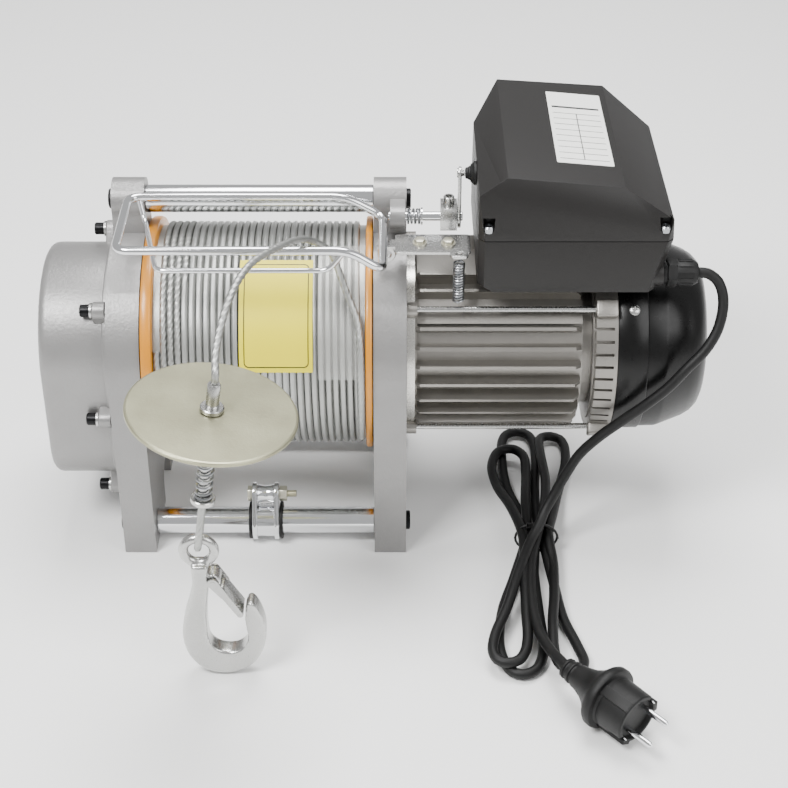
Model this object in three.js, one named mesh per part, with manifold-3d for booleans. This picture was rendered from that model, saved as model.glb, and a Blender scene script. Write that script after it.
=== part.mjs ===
// Electric wire rope puller, standing on its mounting feet.
// Frame: origin at the bottom centre of the object, +Z up, +X towards the motor, millimetres.
import * as THREE from 'three';
import { mergeVertices } from 'three/addons/utils/BufferGeometryUtils.js';
import { ConvexGeometry } from 'three/addons/geometries/ConvexGeometry.js';
import Module from 'manifold-3d';

const wasm = await Module();
wasm.setup();

// ---- driving dimensions ----------------------------------------------------------------------
const GAP = 0.3;
const AXIS = { y: 79, z: 160 };
const PLATE_THICK = 26;
const LEFT_PLATE_X = -208.5;
const RIGHT_PLATE_X = -1;
const PLATE_R = 91;
const FOOT_DEEP = 70;
const ARCH_Z = 14;
const HUB_R = 23.7;

const ROD_R = 11;
const TOP_ROD = { y: 100, z: 272.5 };
const FRONT_ROD = { y: 10, z: 17 };
const REAR_ROD = { y: 148, z: 17 };
const TOP_BOSS_R = 17;
const ROD_SCREW = { r: 5, headR: 8, head: 10, sink: 6.7, grip: 12 };

const GEARBOX_X = -265;
const COVER_R = 74;
const COVER_FLOOR_Z = 52;
const COVER_CORNER_R = 40;
const COVER_WALL = 5;
const GASKET = 1.2;
const COVER_EARS = [[120, 234], [21.5, 215.6], [0, 127.5], [22, 46], [136, 46], [158, 127.5]];

const CENTRE_DISTANCE = 55;
const LAYSHAFT_ANGLE = THREE.MathUtils.degToRad(-110);
const LAYSHAFT = {
  y: AXIS.y + CENTRE_DISTANCE * Math.cos(LAYSHAFT_ANGLE),
  z: AXIS.z + CENTRE_DISTANCE * Math.sin(LAYSHAFT_ANGLE),
};
const SLOW_MODULE = 2;
const FAST_MODULE = 1.25;
const TEETH = { drum: 45, layPinion: 10, layGear: 77, motorPinion: 11 };

const FLANGE_R = 95;
const LEFT_FLANGE_X = [-181.5, -172.5];
const RIGHT_FLANGE_X = [-7.2, -1.8];
const CORE_R = 62;
const COIL_R = 91;
const ROPE_R = 2.75;

const MOTOR_X = [25.3, 171.9];
const FIN_R = 79.5;
const FIN_ROOT_R = 68;
const FIN_COUNT = 32;
const BOLT_CIRCLE_R = 79;
const RING_X = [172.5, 190.2];
const FAN_COVER_X = [190.6, 265];
const SADDLE_R = 82;

const BOX_X = [79, 227];
const BOX_Y = [14, 212];
const BOX_Z = { floor: 237, parting: 281.4, top: 331 };
const GLAND = { y: 26, z: 247.5, x: 222.3, end: 250 };

const BAIL_R = 3.4;
const BAIL_SHAFT = { y: 75, z: 270 };
const BAIL_Z = 287;
const BAIL_FRONT_Y = -9.5;
const LUG_X = [12, 24];
const PIN_Z = 308;

const HOOK_LINE = new THREE.Vector3(-111.2, -151.5, 238);
const HOOK_LINE_TILT = THREE.MathUtils.degToRad(8);
const DISC_R = 60.5;
const HOOK_X = -127.5;
const HOOK_EYE_Z = 117.4;
const LATCH_PIVOT = { x: 9.5, z: 93 };

const ANCHOR_X = -91.5;
const ANCHOR_BOLT = { y: 15, z: 41 };

const CABLE_R = 4.2;
const HANK_TOP = 27;
const PLUG_TAIL = new THREE.Vector3(144, -177, 25.3);
const PLUG_TURN = Math.atan2(-0.753, 0.655);

// ---- materials --------------------------------------------------------------------------------
const finish = (color, roughness, metalness) => (
  new THREE.MeshStandardMaterial({ color, roughness, metalness })
);
const CAST = finish(0xc9c9c5, 0.55, 0.3);
const CHROME = finish(0xd8d8da, 0.15, 1);
const ZINC = finish(0xc6c4b6, 0.4, 0.9);
const ORANGE = finish(0xe19b2d, 0.4, 0.1);
const ROPE = finish(0xa6a7a4, 0.5, 0.8);
const ALUMINIUM = finish(0xa9a39b, 0.5, 0.7);
const GLOSS_BLACK = finish(0x111111, 0.15, 0);
const CHARCOAL = finish(0x484844, 0.5, 0);
const RUBBER = finish(0x2b2b2b, 0.8, 0);
const BLACK_STEEL = finish(0x1c1c1c, 0.4, 0.6);
const STEEL = finish(0x8f9194, 0.35, 1);
const COPPER = finish(0xb06a3a, 0.4, 0.9);
const GREY_PLASTIC = finish(0x8a8d90, 0.6, 0);

// ---- geometry helpers ---------------------------------------------------------------------------
function cleaned(geometry) {
  const bare = geometry.index ? geometry.clone() : geometry;
  for (const name of Object.keys(bare.attributes)) {
    if (name !== 'position') bare.deleteAttribute(name);
  }
  const merged = mergeVertices(bare, 1e-4);
  const index = merged.index.array;
  const kept = [];
  for (let i = 0; i < index.length; i += 3) {
    const [a, b, c] = [index[i], index[i + 1], index[i + 2]];
    if (a !== b && b !== c && c !== a) kept.push(a, b, c);
  }
  merged.setIndex(kept);
  if (signedVolume(merged) < 0) {
    for (let i = 0; i < kept.length; i += 3) [kept[i], kept[i + 1]] = [kept[i + 1], kept[i]];
    merged.setIndex(kept);
  }
  return merged;
}

function signedVolume(geometry) {
  const p = geometry.attributes.position;
  const index = geometry.index.array;
  const [a, b, c] = [new THREE.Vector3(), new THREE.Vector3(), new THREE.Vector3()];
  let sum = 0;
  for (let i = 0; i < index.length; i += 3) {
    a.fromBufferAttribute(p, index[i]);
    b.fromBufferAttribute(p, index[i + 1]);
    c.fromBufferAttribute(p, index[i + 2]);
    sum += a.dot(b.cross(c));
  }
  return sum;
}

function solid(geometry) {
  const g = cleaned(geometry);
  const triVerts = new Uint32Array(g.index.array);
  const mesh = { numProp: 3, vertProperties: g.attributes.position.array, triVerts };
  return new wasm.Manifold(new wasm.Mesh(mesh));
}

function shaped(manifold) {
  const mesh = manifold.getMesh();
  const geometry = new THREE.BufferGeometry();
  geometry.setAttribute('position', new THREE.BufferAttribute(Float32Array.from(mesh.vertProperties), 3));
  geometry.setIndex(Array.from(mesh.triVerts));
  return geometry;
}

const joined = (...geometries) => shaped(geometries.map(solid).reduce((a, b) => a.add(b)));

function cut(body, ...tools) {
  return shaped(tools.map(solid).reduce((a, b) => a.subtract(b), solid(body)));
}

const block = (x0, x1, y0, y1, z0, z1) =>
  new THREE.BoxGeometry(x1 - x0, y1 - y0, z1 - z0).translate((x0 + x1) / 2, (y0 + y1) / 2, (z0 + z1) / 2);

// A turned piece along X: the profile is a list of [x, radius].
function turnedX(profile, centre = AXIS, sides = 32) {
  const points = profile.map(([x, r]) => new THREE.Vector2(r, x));
  const geometry = new THREE.LatheGeometry(points, sides).rotateZ(-Math.PI / 2);
  return geometry.translate(0, centre.y, centre.z);
}

// A turned piece along Z: the profile is a list of [z, radius].
function turnedZ(profile, sides = 32) {
  const points = profile.map(([z, r]) => new THREE.Vector2(r, z));
  return new THREE.LatheGeometry(points, sides).rotateX(Math.PI / 2);
}

function barX(x0, x1, r, centre = AXIS, sides = 24) {
  return turnedX([[x0, 0], [x0, r], [x1, r], [x1, 0]], centre, sides);
}

const ringX = (x0, x1, inner, outer, centre = AXIS, sides = 32) =>
  turnedX([[x0, inner], [x1, inner], [x1, outer], [x0, outer], [x0, inner]], centre, sides);

function extruded(shape, depth, curveSegments = 8) {
  return new THREE.ExtrudeGeometry(shape, { depth, bevelEnabled: false, curveSegments });
}

// A prism along X from an outline in Y and Z.
function prismX(shape, x0, x1, curveSegments) {
  const basis = new THREE.Matrix4().makeBasis(
    new THREE.Vector3(0, 1, 0), new THREE.Vector3(0, 0, 1), new THREE.Vector3(1, 0, 0));
  return extruded(shape, x1 - x0, curveSegments).applyMatrix4(basis).translate(x0, 0, 0);
}

// A prism along Y from an outline in X and Z.
function prismY(shape, y0, y1, curveSegments) {
  const basis = new THREE.Matrix4().makeBasis(
    new THREE.Vector3(1, 0, 0), new THREE.Vector3(0, 0, 1), new THREE.Vector3(0, -1, 0));
  return extruded(shape, y1 - y0, curveSegments).applyMatrix4(basis).translate(0, y1, 0);
}

const polygon = (points) => new THREE.Shape(points.map(([x, y]) => new THREE.Vector2(x, y)));

// A link outline: two round ends joined by straight tangents.
function linkOutline(ax, ay, ar, bx, by, br) {
  const along = Math.atan2(by - ay, bx - ax);
  const side = Math.acos((ar - br) / Math.hypot(bx - ax, by - ay));
  const shape = new THREE.Shape();
  shape.absarc(ax, ay, ar, along + side, along - side + 2 * Math.PI, false);
  shape.absarc(bx, by, br, along - side, along + side, false);
  return shape;
}

function circle(radius, sides) {
  const points = [];
  for (let i = 0; i < sides; i += 1) {
    const a = (i / sides) * 2 * Math.PI;
    points.push(new THREE.Vector2(radius * Math.cos(a), radius * Math.sin(a)));
  }
  return new THREE.Shape(points);
}

const swept = (curve, radius, sides, steps) =>
  new THREE.ExtrudeGeometry(circle(radius, sides), { steps, extrudePath: curve, bevelEnabled: false });

// A bent wire's centreline: straight runs with rounded corners.
function bentLine(corners, bend) {
  const path = new THREE.CurvePath();
  let from = corners[0];
  for (let i = 1; i < corners.length - 1; i += 1) {
    const into = corners[i].clone().sub(corners[i - 1]).setLength(bend);
    const out = corners[i + 1].clone().sub(corners[i]).setLength(bend);
    const start = corners[i].clone().sub(into);
    const end = corners[i].clone().add(out);
    path.add(new THREE.LineCurve3(from, start));
    path.add(new THREE.QuadraticBezierCurve3(start, corners[i], end));
    from = end;
  }
  path.add(new THREE.LineCurve3(from, corners[corners.length - 1]));
  return path;
}

class Helix extends THREE.Curve {
  constructor(radius, length, turns) {
    super();
    Object.assign(this, { radius, length, turns });
  }

  getPoint(t, target = new THREE.Vector3()) {
    const a = 2 * Math.PI * this.turns * t;
    return target.set(this.radius * Math.cos(a), this.radius * Math.sin(a), this.length * t);
  }
}

// A coil spring standing on the origin along +Z.
const coilSpring = (radius, wire, length, turns) =>
  swept(new Helix(radius, length - 2 * wire, turns), wire, 4, turns * 6).translate(0, 0, wire);

// ---- gears --------------------------------------------------------------------------------------
// Tapered teeth with generous backlash; one tooth points along the angle `first`.
function gearOutline(teeth, module, first) {
  const pitch = (2 * Math.PI) / teeth;
  const root = (module * teeth) / 2 - 1.2 * module;
  const tip = (module * teeth) / 2 + 0.85 * module;
  const corners = [[-0.29, root], [-0.09, tip], [0.09, tip], [0.29, root]];
  const points = [];
  for (let i = 0; i < teeth; i += 1) {
    for (const [share, r] of corners) {
      const a = first + (i + share) * pitch;
      points.push(new THREE.Vector2(r * Math.cos(a), r * Math.sin(a)));
    }
  }
  return new THREE.Shape(points);
}

function gear(teeth, module, first, x0, x1, centre, bore) {
  const shape = gearOutline(teeth, module, first);
  if (bore) shape.holes.push(circle(bore, 20));
  return prismX(shape, x0, x1).translate(0, centre.y, centre.z);
}

// The angle of a tooth on a gear at `far` that meets a gap, seen from the gear it meshes with.
const gapTowards = (angle, teeth) => angle + Math.PI + Math.PI / teeth;

// ---- frame --------------------------------------------------------------------------------------
function plateOutline() {
  const front = AXIS.y - PLATE_R;
  const rear = AXIS.y + PLATE_R;
  const archR = (rear - front - 2 * FOOT_DEEP) / 2;
  const shape = new THREE.Shape();
  shape.moveTo(front, 0);
  shape.lineTo(front + FOOT_DEEP, 0);
  shape.lineTo(front + FOOT_DEEP, ARCH_Z);
  shape.absarc(AXIS.y, ARCH_Z, archR, Math.PI, 0, true);
  shape.lineTo(rear - FOOT_DEEP, 0);
  shape.lineTo(rear, 0);
  shape.lineTo(rear, AXIS.z);
  shape.absarc(AXIS.y, AXIS.z, PLATE_R, 0, Math.PI, false);
  return shape;
}

function rodScrewTools(x0, x1, outer) {
  const inwards = Math.sign((x0 + x1) / 2 - outer);
  const sink = outer + inwards * ROD_SCREW.sink;
  const [a, b] = [Math.min(sink, outer - inwards), Math.max(sink, outer - inwards)];
  return [TOP_ROD, FRONT_ROD, REAR_ROD].flatMap((rod) => [
    barX(x0 - 1, x1 + 1, ROD_SCREW.r + GAP, rod, 16),
    barX(a, b, ROD_SCREW.headR + GAP, rod, 16),
  ]);
}

function endPlate(x0, x1, outer) {
  const boss = joined(
    prismX(plateOutline(), x0, x1, 16),
    block(x0, x1, TOP_ROD.y - TOP_BOSS_R, TOP_ROD.y + TOP_BOSS_R, AXIS.z + 50, TOP_ROD.z),
    barX(x0, x1, TOP_BOSS_R, TOP_ROD),
  );
  return cut(boss, barX(x0 - 1, x1 + 1, HUB_R + GAP), ...rodScrewTools(x0, x1, outer));
}

function leftEndPlate() {
  const x1 = LEFT_PLATE_X + PLATE_THICK;
  const socket = barX(LEFT_PLATE_X - 1, LEFT_PLATE_X + 10, 7 + GAP, LAYSHAFT);
  return cut(endPlate(LEFT_PLATE_X, x1, LEFT_PLATE_X), socket);
}

function rightEndPlate() {
  const x1 = RIGHT_PLATE_X + PLATE_THICK;
  const [lug0, lug1] = LUG_X;
  const lug = joined(
    barX(lug0, lug1, 10, BAIL_SHAFT, 16),
    block(lug0, lug1, BAIL_SHAFT.y, TOP_ROD.y - 10, BAIL_SHAFT.z - 8, BAIL_SHAFT.z + 8),
  );
  const whole = joined(endPlate(RIGHT_PLATE_X, x1, x1), lug);
  const shaftHole = barX(lug0 - 1, lug1 + 1, 3.7 + GAP, BAIL_SHAFT, 16);
  return cut(whole, shaftHole, ...rodScrewTools(RIGHT_PLATE_X, x1, x1));
}

function tieRod(centre) {
  const x0 = LEFT_PLATE_X + PLATE_THICK + GAP;
  const x1 = RIGHT_PLATE_X - GAP;
  const bore = ROD_SCREW.r + GAP;
  const deep = ROD_SCREW.grip + GAP;
  const profile = [
    [x0 + deep, 0], [x0 + deep, bore], [x0, bore], [x0, ROD_R],
    [x1, ROD_R], [x1, bore], [x1 - deep, bore], [x1 - deep, 0],
  ];
  return turnedX(profile, centre, 16);
}

// A socket head screw from the plate's outer face into the rod's end.
function rodScrew(rod, side) {
  const outer = side < 0 ? LEFT_PLATE_X : RIGHT_PLATE_X + PLATE_THICK;
  const seat = outer - side * (ROD_SCREW.sink - GAP);
  const face = seat + side * ROD_SCREW.head;
  const end = outer - side * (PLATE_THICK + ROD_SCREW.grip);
  const profile = [
    [face - side * 5, 0], [face - side * 5, 4], [face, 4], [face, ROD_SCREW.headR],
    [seat, ROD_SCREW.headR], [seat, ROD_SCREW.r], [end, ROD_SCREW.r], [end, 0],
  ];
  return turnedX(profile, rod, 12);
}

// ---- gearbox ------------------------------------------------------------------------------------
function coverOutline(inset) {
  const r = COVER_R - inset;
  const corner = COVER_CORNER_R - inset;
  const floor = COVER_FLOOR_Z + inset;
  const shape = new THREE.Shape();
  shape.moveTo(AXIS.y + r, AXIS.z);
  shape.absarc(AXIS.y, AXIS.z, r, 0, Math.PI, false);
  shape.absarc(AXIS.y - r + corner, floor + corner, corner, Math.PI, 1.5 * Math.PI, false);
  shape.absarc(AXIS.y + r - corner, floor + corner, corner, -0.5 * Math.PI, 0, false);
  return shape;
}

function gearboxCover() {
  const x1 = LEFT_PLATE_X - GASKET - 2 * GAP;
  const ears = COVER_EARS.map(([y, z]) => {
    const inwards = new THREE.Vector2(AXIS.y - y, AXIS.z - 20 - z).setLength(20);
    return prismX(linkOutline(y, z, 7, y + inwards.x, z + inwards.y, 8), x1 - 10, x1, 6);
  });
  const shell = joined(prismX(coverOutline(0), GEARBOX_X, x1, 8), ...ears);
  return cut(shell, prismX(coverOutline(COVER_WALL), GEARBOX_X + COVER_WALL, x1 + 1, 8));
}

function coverGasket() {
  const shape = coverOutline(0);
  shape.holes.push(coverOutline(COVER_WALL));
  return prismX(shape, LEFT_PLATE_X - GASKET - GAP, LEFT_PLATE_X - GAP, 8);
}

const drumGear = () => gear(TEETH.drum, SLOW_MODULE, LAYSHAFT_ANGLE, -226, -213, AXIS, 18 + GAP);

function layshaft() {
  const first = gapTowards(LAYSHAFT_ANGLE, TEETH.layPinion);
  const pinion = gear(TEETH.layPinion, SLOW_MODULE, first, -228, -211, LAYSHAFT);
  return joined(barX(-256, -199, 7, LAYSHAFT, 20), pinion);
}

function layshaftGear() {
  return gear(TEETH.layGear, FAST_MODULE, LAYSHAFT_ANGLE + Math.PI, -244, -234, LAYSHAFT, 7 + GAP);
}

function motorShaft() {
  const first = gapTowards(LAYSHAFT_ANGLE + Math.PI, TEETH.motorPinion);
  const pinion = gear(TEETH.motorPinion, FAST_MODULE, first, -246, -231, AXIS);
  return joined(turnedX([[-233, 0], [-233, 5], [-230, 5], [-230, 7], [224, 7], [224, 0]], AXIS, 20), pinion);
}

// ---- drum ---------------------------------------------------------------------------------------
function drumCore() {
  const left = LEFT_FLANGE_X[1] + GAP;
  const right = RIGHT_FLANGE_X[0] - GAP;
  const profile = [
    [-228, 10], [-228, 18], [LEFT_PLATE_X - GAP, 18], [LEFT_PLATE_X - GAP, HUB_R],
    [left, HUB_R], [left, CORE_R], [right, CORE_R], [right, HUB_R],
    [18, HUB_R], [18, 10], [right - 8, 10], [right - 8, CORE_R - 8],
    [left + 8, CORE_R - 8], [left + 8, 10], [-228, 10],
  ];
  return turnedX(profile, AXIS, 24);
}

const drumFlange = ([x0, x1]) => ringX(x0, x1, HUB_R + GAP, FLANGE_R, AXIS, 48);

const ropeCoil = () => ringX(LEFT_FLANGE_X[1] + GAP, RIGHT_FLANGE_X[0] - GAP, CORE_R + GAP, COIL_R, AXIS, 48);

// ---- motor --------------------------------------------------------------------------------------
const boltCentre = (k) => {
  const a = Math.PI / 4 + (k * Math.PI) / 2;
  return { y: AXIS.y + BOLT_CIRCLE_R * Math.cos(a), z: AXIS.z + BOLT_CIRCLE_R * Math.sin(a) };
};
const BOLTS = [0, 1, 2, 3];

// A finned section: the fin places on the bolt lines and under the control box stay bare.
function finOutline(root, tip, halfWidth) {
  const points = [];
  for (let k = 0; k < FIN_COUNT; k += 1) {
    const a = (k * 2 * Math.PI) / FIN_COUNT;
    const onBolt = k % 8 === 4;
    const underBox = k >= 7 && k <= 9;
    const half = halfWidth / root;
    const height = onBolt || underBox ? root : tip;
    const foot = half * 1.4;
    const crown = halfWidth / tip;
    for (const [turn, r] of [[-foot, root], [-crown, height], [crown, height], [foot, root]]) {
      points.push(new THREE.Vector2(AXIS.y + r * Math.cos(a + turn), AXIS.z + r * Math.sin(a + turn)));
    }
  }
  return new THREE.Shape(points);
}

function motorHousing() {
  const [x0, x1] = MOTOR_X;
  const lugs = BOLTS.map((k) => barX(x0, x0 + 8, 6, boltCentre(k), 12));
  const whole = joined(
    prismX(finOutline(FIN_ROOT_R, FIN_R, 1.7), x0 + 4, x1 - 10),
    barX(x1 - 8.5, x1, 75.4, AXIS, 40),
    barX(x0, x1, FIN_ROOT_R + 1, AXIS, 40),
    barX(x0, x0 + 8, 76, AXIS, 40),
    block(100, 160, AXIS.y - 24, AXIS.y + 24, AXIS.z + 40, BOX_Z.floor + 0.7),
    ...lugs,
  );
  const holes = BOLTS.map((k) => barX(x0 - 1, x0 + 9, 2.5 + GAP, boltCentre(k), 12));
  return cut(whole, barX(x0 + 8, x1 + 1, 58, AXIS, 40), barX(x0 - 1, x0 + 9, 7.5, AXIS), ...holes);
}

function motorEndRing() {
  const [x0, x1] = RING_X;
  const lugs = BOLTS.map((k) => barX(x0, x1 - GAP, 10, boltCentre(k), 4));
  const whole = joined(
    prismX(finOutline(73, 78, 3.5), x0, x1),
    barX(x0 - 10, x0 + 1, 57.7, AXIS, 40),
    ...lugs,
  );
  const holes = BOLTS.map((k) => barX(x0 - 1, x1 - 6, 2.5 + GAP, boltCentre(k), 12));
  const fanSide = barX(x1 - 8, x1 + 1, 66, AXIS, 40);
  const windingSide = barX(x0 - 11, x0 + 2, 52, AXIS, 40);
  return cut(whole, fanSide, windingSide, barX(x0, x1, 7.5, AXIS), ...holes);
}

const throughBolt = (k) => barX(MOTOR_X[0] + GAP, RING_X[1] - 6.5, 2.5, boltCentre(k), 12);

const stator = () => turnedX([
  [40, 36], [40, 56], [50, 57.7], [148, 57.7], [148, 56], [158, 56],
  [158, 36], [148, 34.6], [50, 34.6], [40, 36],
], AXIS, 24);

const rotor = () => ringX(52, 146, 7 + GAP, 34, AXIS, 32);

function coolingFan() {
  const blade = block(198, 220, AXIS.y - 60, AXIS.y + 60, AXIS.z - 1.5, AXIS.z + 1.5);
  const blades = [0, 1, 2, 3].map((k) => {
    const turn = blade.clone().translate(0, -AXIS.y, -AXIS.z).rotateX((k * Math.PI) / 4);
    return turn.translate(0, AXIS.y, AXIS.z);
  });
  const body = joined(barX(195, 222, 13), barX(195, 198, 60), ...blades);
  return cut(body, barX(190, 225, 7 + GAP));
}

function fanCover() {
  const [x0, x1] = FAN_COVER_X;
  const wall = 2.5;
  const outside = [[x0, 79], [229, 79], [251, 68.5], [261, 61], [264.5, 53], [x1, 44], [x1, 0]];
  const inside = [[x1 - wall, 0], [x1 - wall, 44], [258.5, 58.5], [249, 66.5], [228, 76.5], [x0, 76.5], [x0, 79]];
  return turnedX([...outside, ...inside].reverse(), AXIS, 32);
}

// ---- control box --------------------------------------------------------------------------------
// The box's plan: long chamfers on the rear corners, short ones at the front.
function boxPlan(inset, z, squeeze = 0) {
  const [x0, x1] = [BOX_X[0] + inset, BOX_X[1] - inset];
  const [y0, y1] = [BOX_Y[0] + inset, BOX_Y[1] - inset];
  const plan = [
    [x0 + 5, y0], [x1 - 5 - squeeze, y0], [x1 - squeeze, y0 + 5], [x1 - squeeze, y1 - 32],
    [x1 - 32 - squeeze, y1], [x0 + 19, y1], [x0, y1 - 62], [x0, y0 + 5],
  ];
  return plan.map(([x, y]) => new THREE.Vector3(x, y, z));
}

function boxBase() {
  const { floor, parting } = BOX_Z;
  const low = boxPlan(0, floor, 11.8).map((p) => p.setX(Math.max(p.x, BOX_X[0] + 12)));
  const shell = new ConvexGeometry([...low, ...boxPlan(0, floor + 5, 10.5), ...boxPlan(0, parting)]);
  const inside = new ConvexGeometry([...boxPlan(3, floor + 9, 8), ...boxPlan(3, parting + 1)]);
  const boss = barX(200, GLAND.x - GAP, 10.4, GLAND, 16);
  const saddle = barX(BOX_X[0] - 1, BOX_X[1] + 1, SADDLE_R, AXIS, 64);
  return cut(joined(shell, boss), inside, saddle, barX(190, GLAND.x + 1, 6, GLAND, 16));
}

function boxLid() {
  const { parting, top } = BOX_Z;
  const foot = parting + GAP;
  const ridge = (inset) => [
    [100 + inset, 22 + inset, top - inset], [188 - inset, 22 + inset, top - 8 - inset],
    [188 - inset, 203 - inset, top - 8 - inset], [100 + inset, 198 - inset, top - inset],
    [79 + inset, 19 + inset, 317], [79 + inset, 146 - inset, 317],
    [226 - inset, 18 + inset, 298], [226 - inset, 178 - inset, 298],
  ].map(([x, y, z]) => new THREE.Vector3(x, y, z));
  const shell = new ConvexGeometry([...boxPlan(0, foot), ...ridge(0)]);
  const inside = new ConvexGeometry([...boxPlan(3, foot - 1), ...ridge(3)]);
  return cut(shell, inside);
}

function cableGland() {
  const { x, end } = GLAND;
  const profile = [
    [x, 5], [x, 8.5], [x + 3, 8.5], [x + 3, 10.4], [x + 10, 10.4], [x + 10.5, 10],
    [end - 4, 10], [end, 7], [end, CABLE_R + GAP], [x, CABLE_R + GAP], [x, 5],
  ];
  return turnedX(profile, GLAND, 12);
}

function switchBoot() {
  const centre = { y: BAIL_SHAFT.y, z: PIN_Z };
  return turnedX([[70.2, 0], [70.2, 4.5], [74, 6], [76, 9], [78.7, 9.5], [78.7, 0]], centre, 12);
}

const limitSwitch = () => block(84, 100, 62, 90, 296, 312);
const contactor = () => block(112, 160, 120, 180, 248, 300);
function runCapacitor() {
  const can = turnedZ([[0, 0], [0, 17], [78, 17], [78, 0]], 20);
  return can.rotateX(-Math.PI / 2).translate(196, 40, 272);
}

// ---- overtravel bail ----------------------------------------------------------------------------
function limitBail() {
  const v = (x, y, z) => new THREE.Vector3(x, y, z);
  const [front, rear, left] = [BAIL_FRONT_Y, BAIL_SHAFT.y, -192.5];
  const guardZ = BAIL_Z - 17;
  const frontHalf = bentLine([
    v(left, 30, BAIL_Z), v(left, front, BAIL_Z), v(-19, front, BAIL_Z), v(6.8, front, BAIL_SHAFT.z),
    v(6.8, 32, BAIL_SHAFT.z),
  ], 9);
  const rearHalf = bentLine([
    v(6.8, 30, BAIL_SHAFT.z), v(6.8, rear, BAIL_SHAFT.z), v(-23, rear, BAIL_Z), v(left, rear, BAIL_Z),
    v(left, 28, BAIL_Z),
  ], 9);
  const guard = bentLine([
    v(-184, rear - 1, BAIL_Z - 2), v(-180, rear - 8, guardZ), v(-163, front, guardZ), v(-34, front, guardZ),
    v(-22, front, BAIL_Z - 1),
  ], 7);
  return joined(swept(frontHalf, BAIL_R, 6, 32), swept(rearHalf, BAIL_R, 6, 32), swept(guard, 2, 5, 24));
}

function bailShaft() {
  return turnedX([
    [10.6, 0], [10.6, 3.7], [36.3, 3.7], [36.3, 7], [37.6, 7], [37.6, 3.7], [69, 3.7], [69, 0],
  ], BAIL_SHAFT, 16);
}

const bailShaftSpring = () =>
  coilSpring(5.6, 0.8, 10.4, 5).rotateY(Math.PI / 2).translate(25.5, BAIL_SHAFT.y, BAIL_SHAFT.z);

function leverClamp() {
  const { y, z } = BAIL_SHAFT;
  const head = turnedZ([[0, 0], [0, 4.3], [8, 4.3], [8, 2.4], [4, 2.4], [4, 0]], 12).translate(58, y, z + 10);
  const body = joined(block(51.5, 64.5, y - 9, y + 9, z - 8, z + 11), head);
  return cut(body, barX(50, 66, 3.7 + GAP, BAIL_SHAFT, 16));
}

function crankLever() {
  const { y, z } = BAIL_SHAFT;
  const arm = prismX(linkOutline(y, z, 9, y, PIN_Z, 5), 65, 67.5, 8);
  const body = joined(arm, barX(66, 69.8, 2.2, { y, z: PIN_Z }, 10));
  return cut(body, barX(64, 68, 3.7 + GAP, BAIL_SHAFT, 16));
}

function limitBracket() {
  const [z0, z1] = [264, 266];
  const eye = new THREE.Shape().absarc(9.5, 257.6, 7, 0, 2 * Math.PI, false);
  eye.holes.push(new THREE.Path().absarc(9.5, 257.6, 4, 0, 2 * Math.PI, true));
  return joined(
    block(16, 74, 25, 53, z0, z1), block(2, 17, 33, 45, z0, z1), block(58, 72, 18, 26, z0, z1),
    prismY(eye, 36, 42, 8),
  );
}

const bailReturnSpring = () => coilSpring(3.9, 0.8, 44.8, 12).translate(65, boltCentre(1).y, 218.8);

// ---- rope tail and hook line ----------------------------------------------------------------------
const ROPE_TAIL_ROUTE = [
  [-10.6, -1.6, 111], [-10.6, -9.7, 127.7], [-10.6, -14.2, 145.6], [-10.6, -15.3, 164], [-10.8, -12.7, 182.4],
  [-11.2, -6.3, 200.3], [-13.4, 4.1, 217.4], [-20.9, 14.6, 234.5], [-27.2, 20.3, 252], [-33, 16, 271],
  [-45, 4, 287.5], [-54, -10.5, 297.2], [-66, -33, 305], [-86.9, -71, 310.5], [-99, -106, 303.4],
  [-106.5, -137, 282.5],
];

function ropeTail() {
  const end = HOOK_LINE.clone().add(alongLine(27.4));
  const route = ROPE_TAIL_ROUTE.map((p) => new THREE.Vector3(...p));
  const points = [...route, end.clone().add(alongLine(6, 0)), end];
  return swept(new THREE.CatmullRomCurve3(points, false, 'centripetal'), ROPE_R, 8, 50);
}

function alongLine(z) {
  return new THREE.Vector3(Math.sin(HOOK_LINE_TILT) * z, 0, Math.cos(HOOK_LINE_TILT) * z);
}

// Pieces on the leaning hook line are made around a vertical one through the disc's underside.
function onHookLine(geometry) {
  return geometry.rotateY(HOOK_LINE_TILT).translate(HOOK_LINE.x, HOOK_LINE.y, HOOK_LINE.z);
}

const ropeFerrule = () => turnedZ([
  [-78, 0], [-78, 3.9], [4.3, 3.9], [4.3, 8.5], [8, 8.5], [8, 5], [27, 5], [27, 0],
], 16);

const limitDisc = () => turnedZ([
  [0, 4.3], [4, 4.3], [4, DISC_R - 1], [3, DISC_R], [1, DISC_R], [0, DISC_R - 1], [0, 4.3],
], 40);

const bufferSpring = () => coilSpring(5.6, 0.9, 71, 12).translate(0, 0, -71.5);
const springSeat = () => turnedZ([[-76, 4.2], [-72, 4.2], [-72, 9], [-76, 9], [-76, 4.2]], 20);

function ropeEye() {
  const side = [[3.2, -78.6], [4.4, -88], [7.4, -103]];
  const low = -117.3;
  const points = [
    ...side.map(([y, z]) => new THREE.Vector3(0, y, z)),
    new THREE.Vector3(0, 7.5, -110), new THREE.Vector3(0, 5.4, low + 2), new THREE.Vector3(0, 0, low),
    new THREE.Vector3(0, -5.4, low + 2), new THREE.Vector3(0, -7.5, -110),
    ...side.reverse().map(([y, z]) => new THREE.Vector3(0, -y, z)),
  ];
  return swept(new THREE.CatmullRomCurve3(points), ROPE_R, 8, 28);
}

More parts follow.
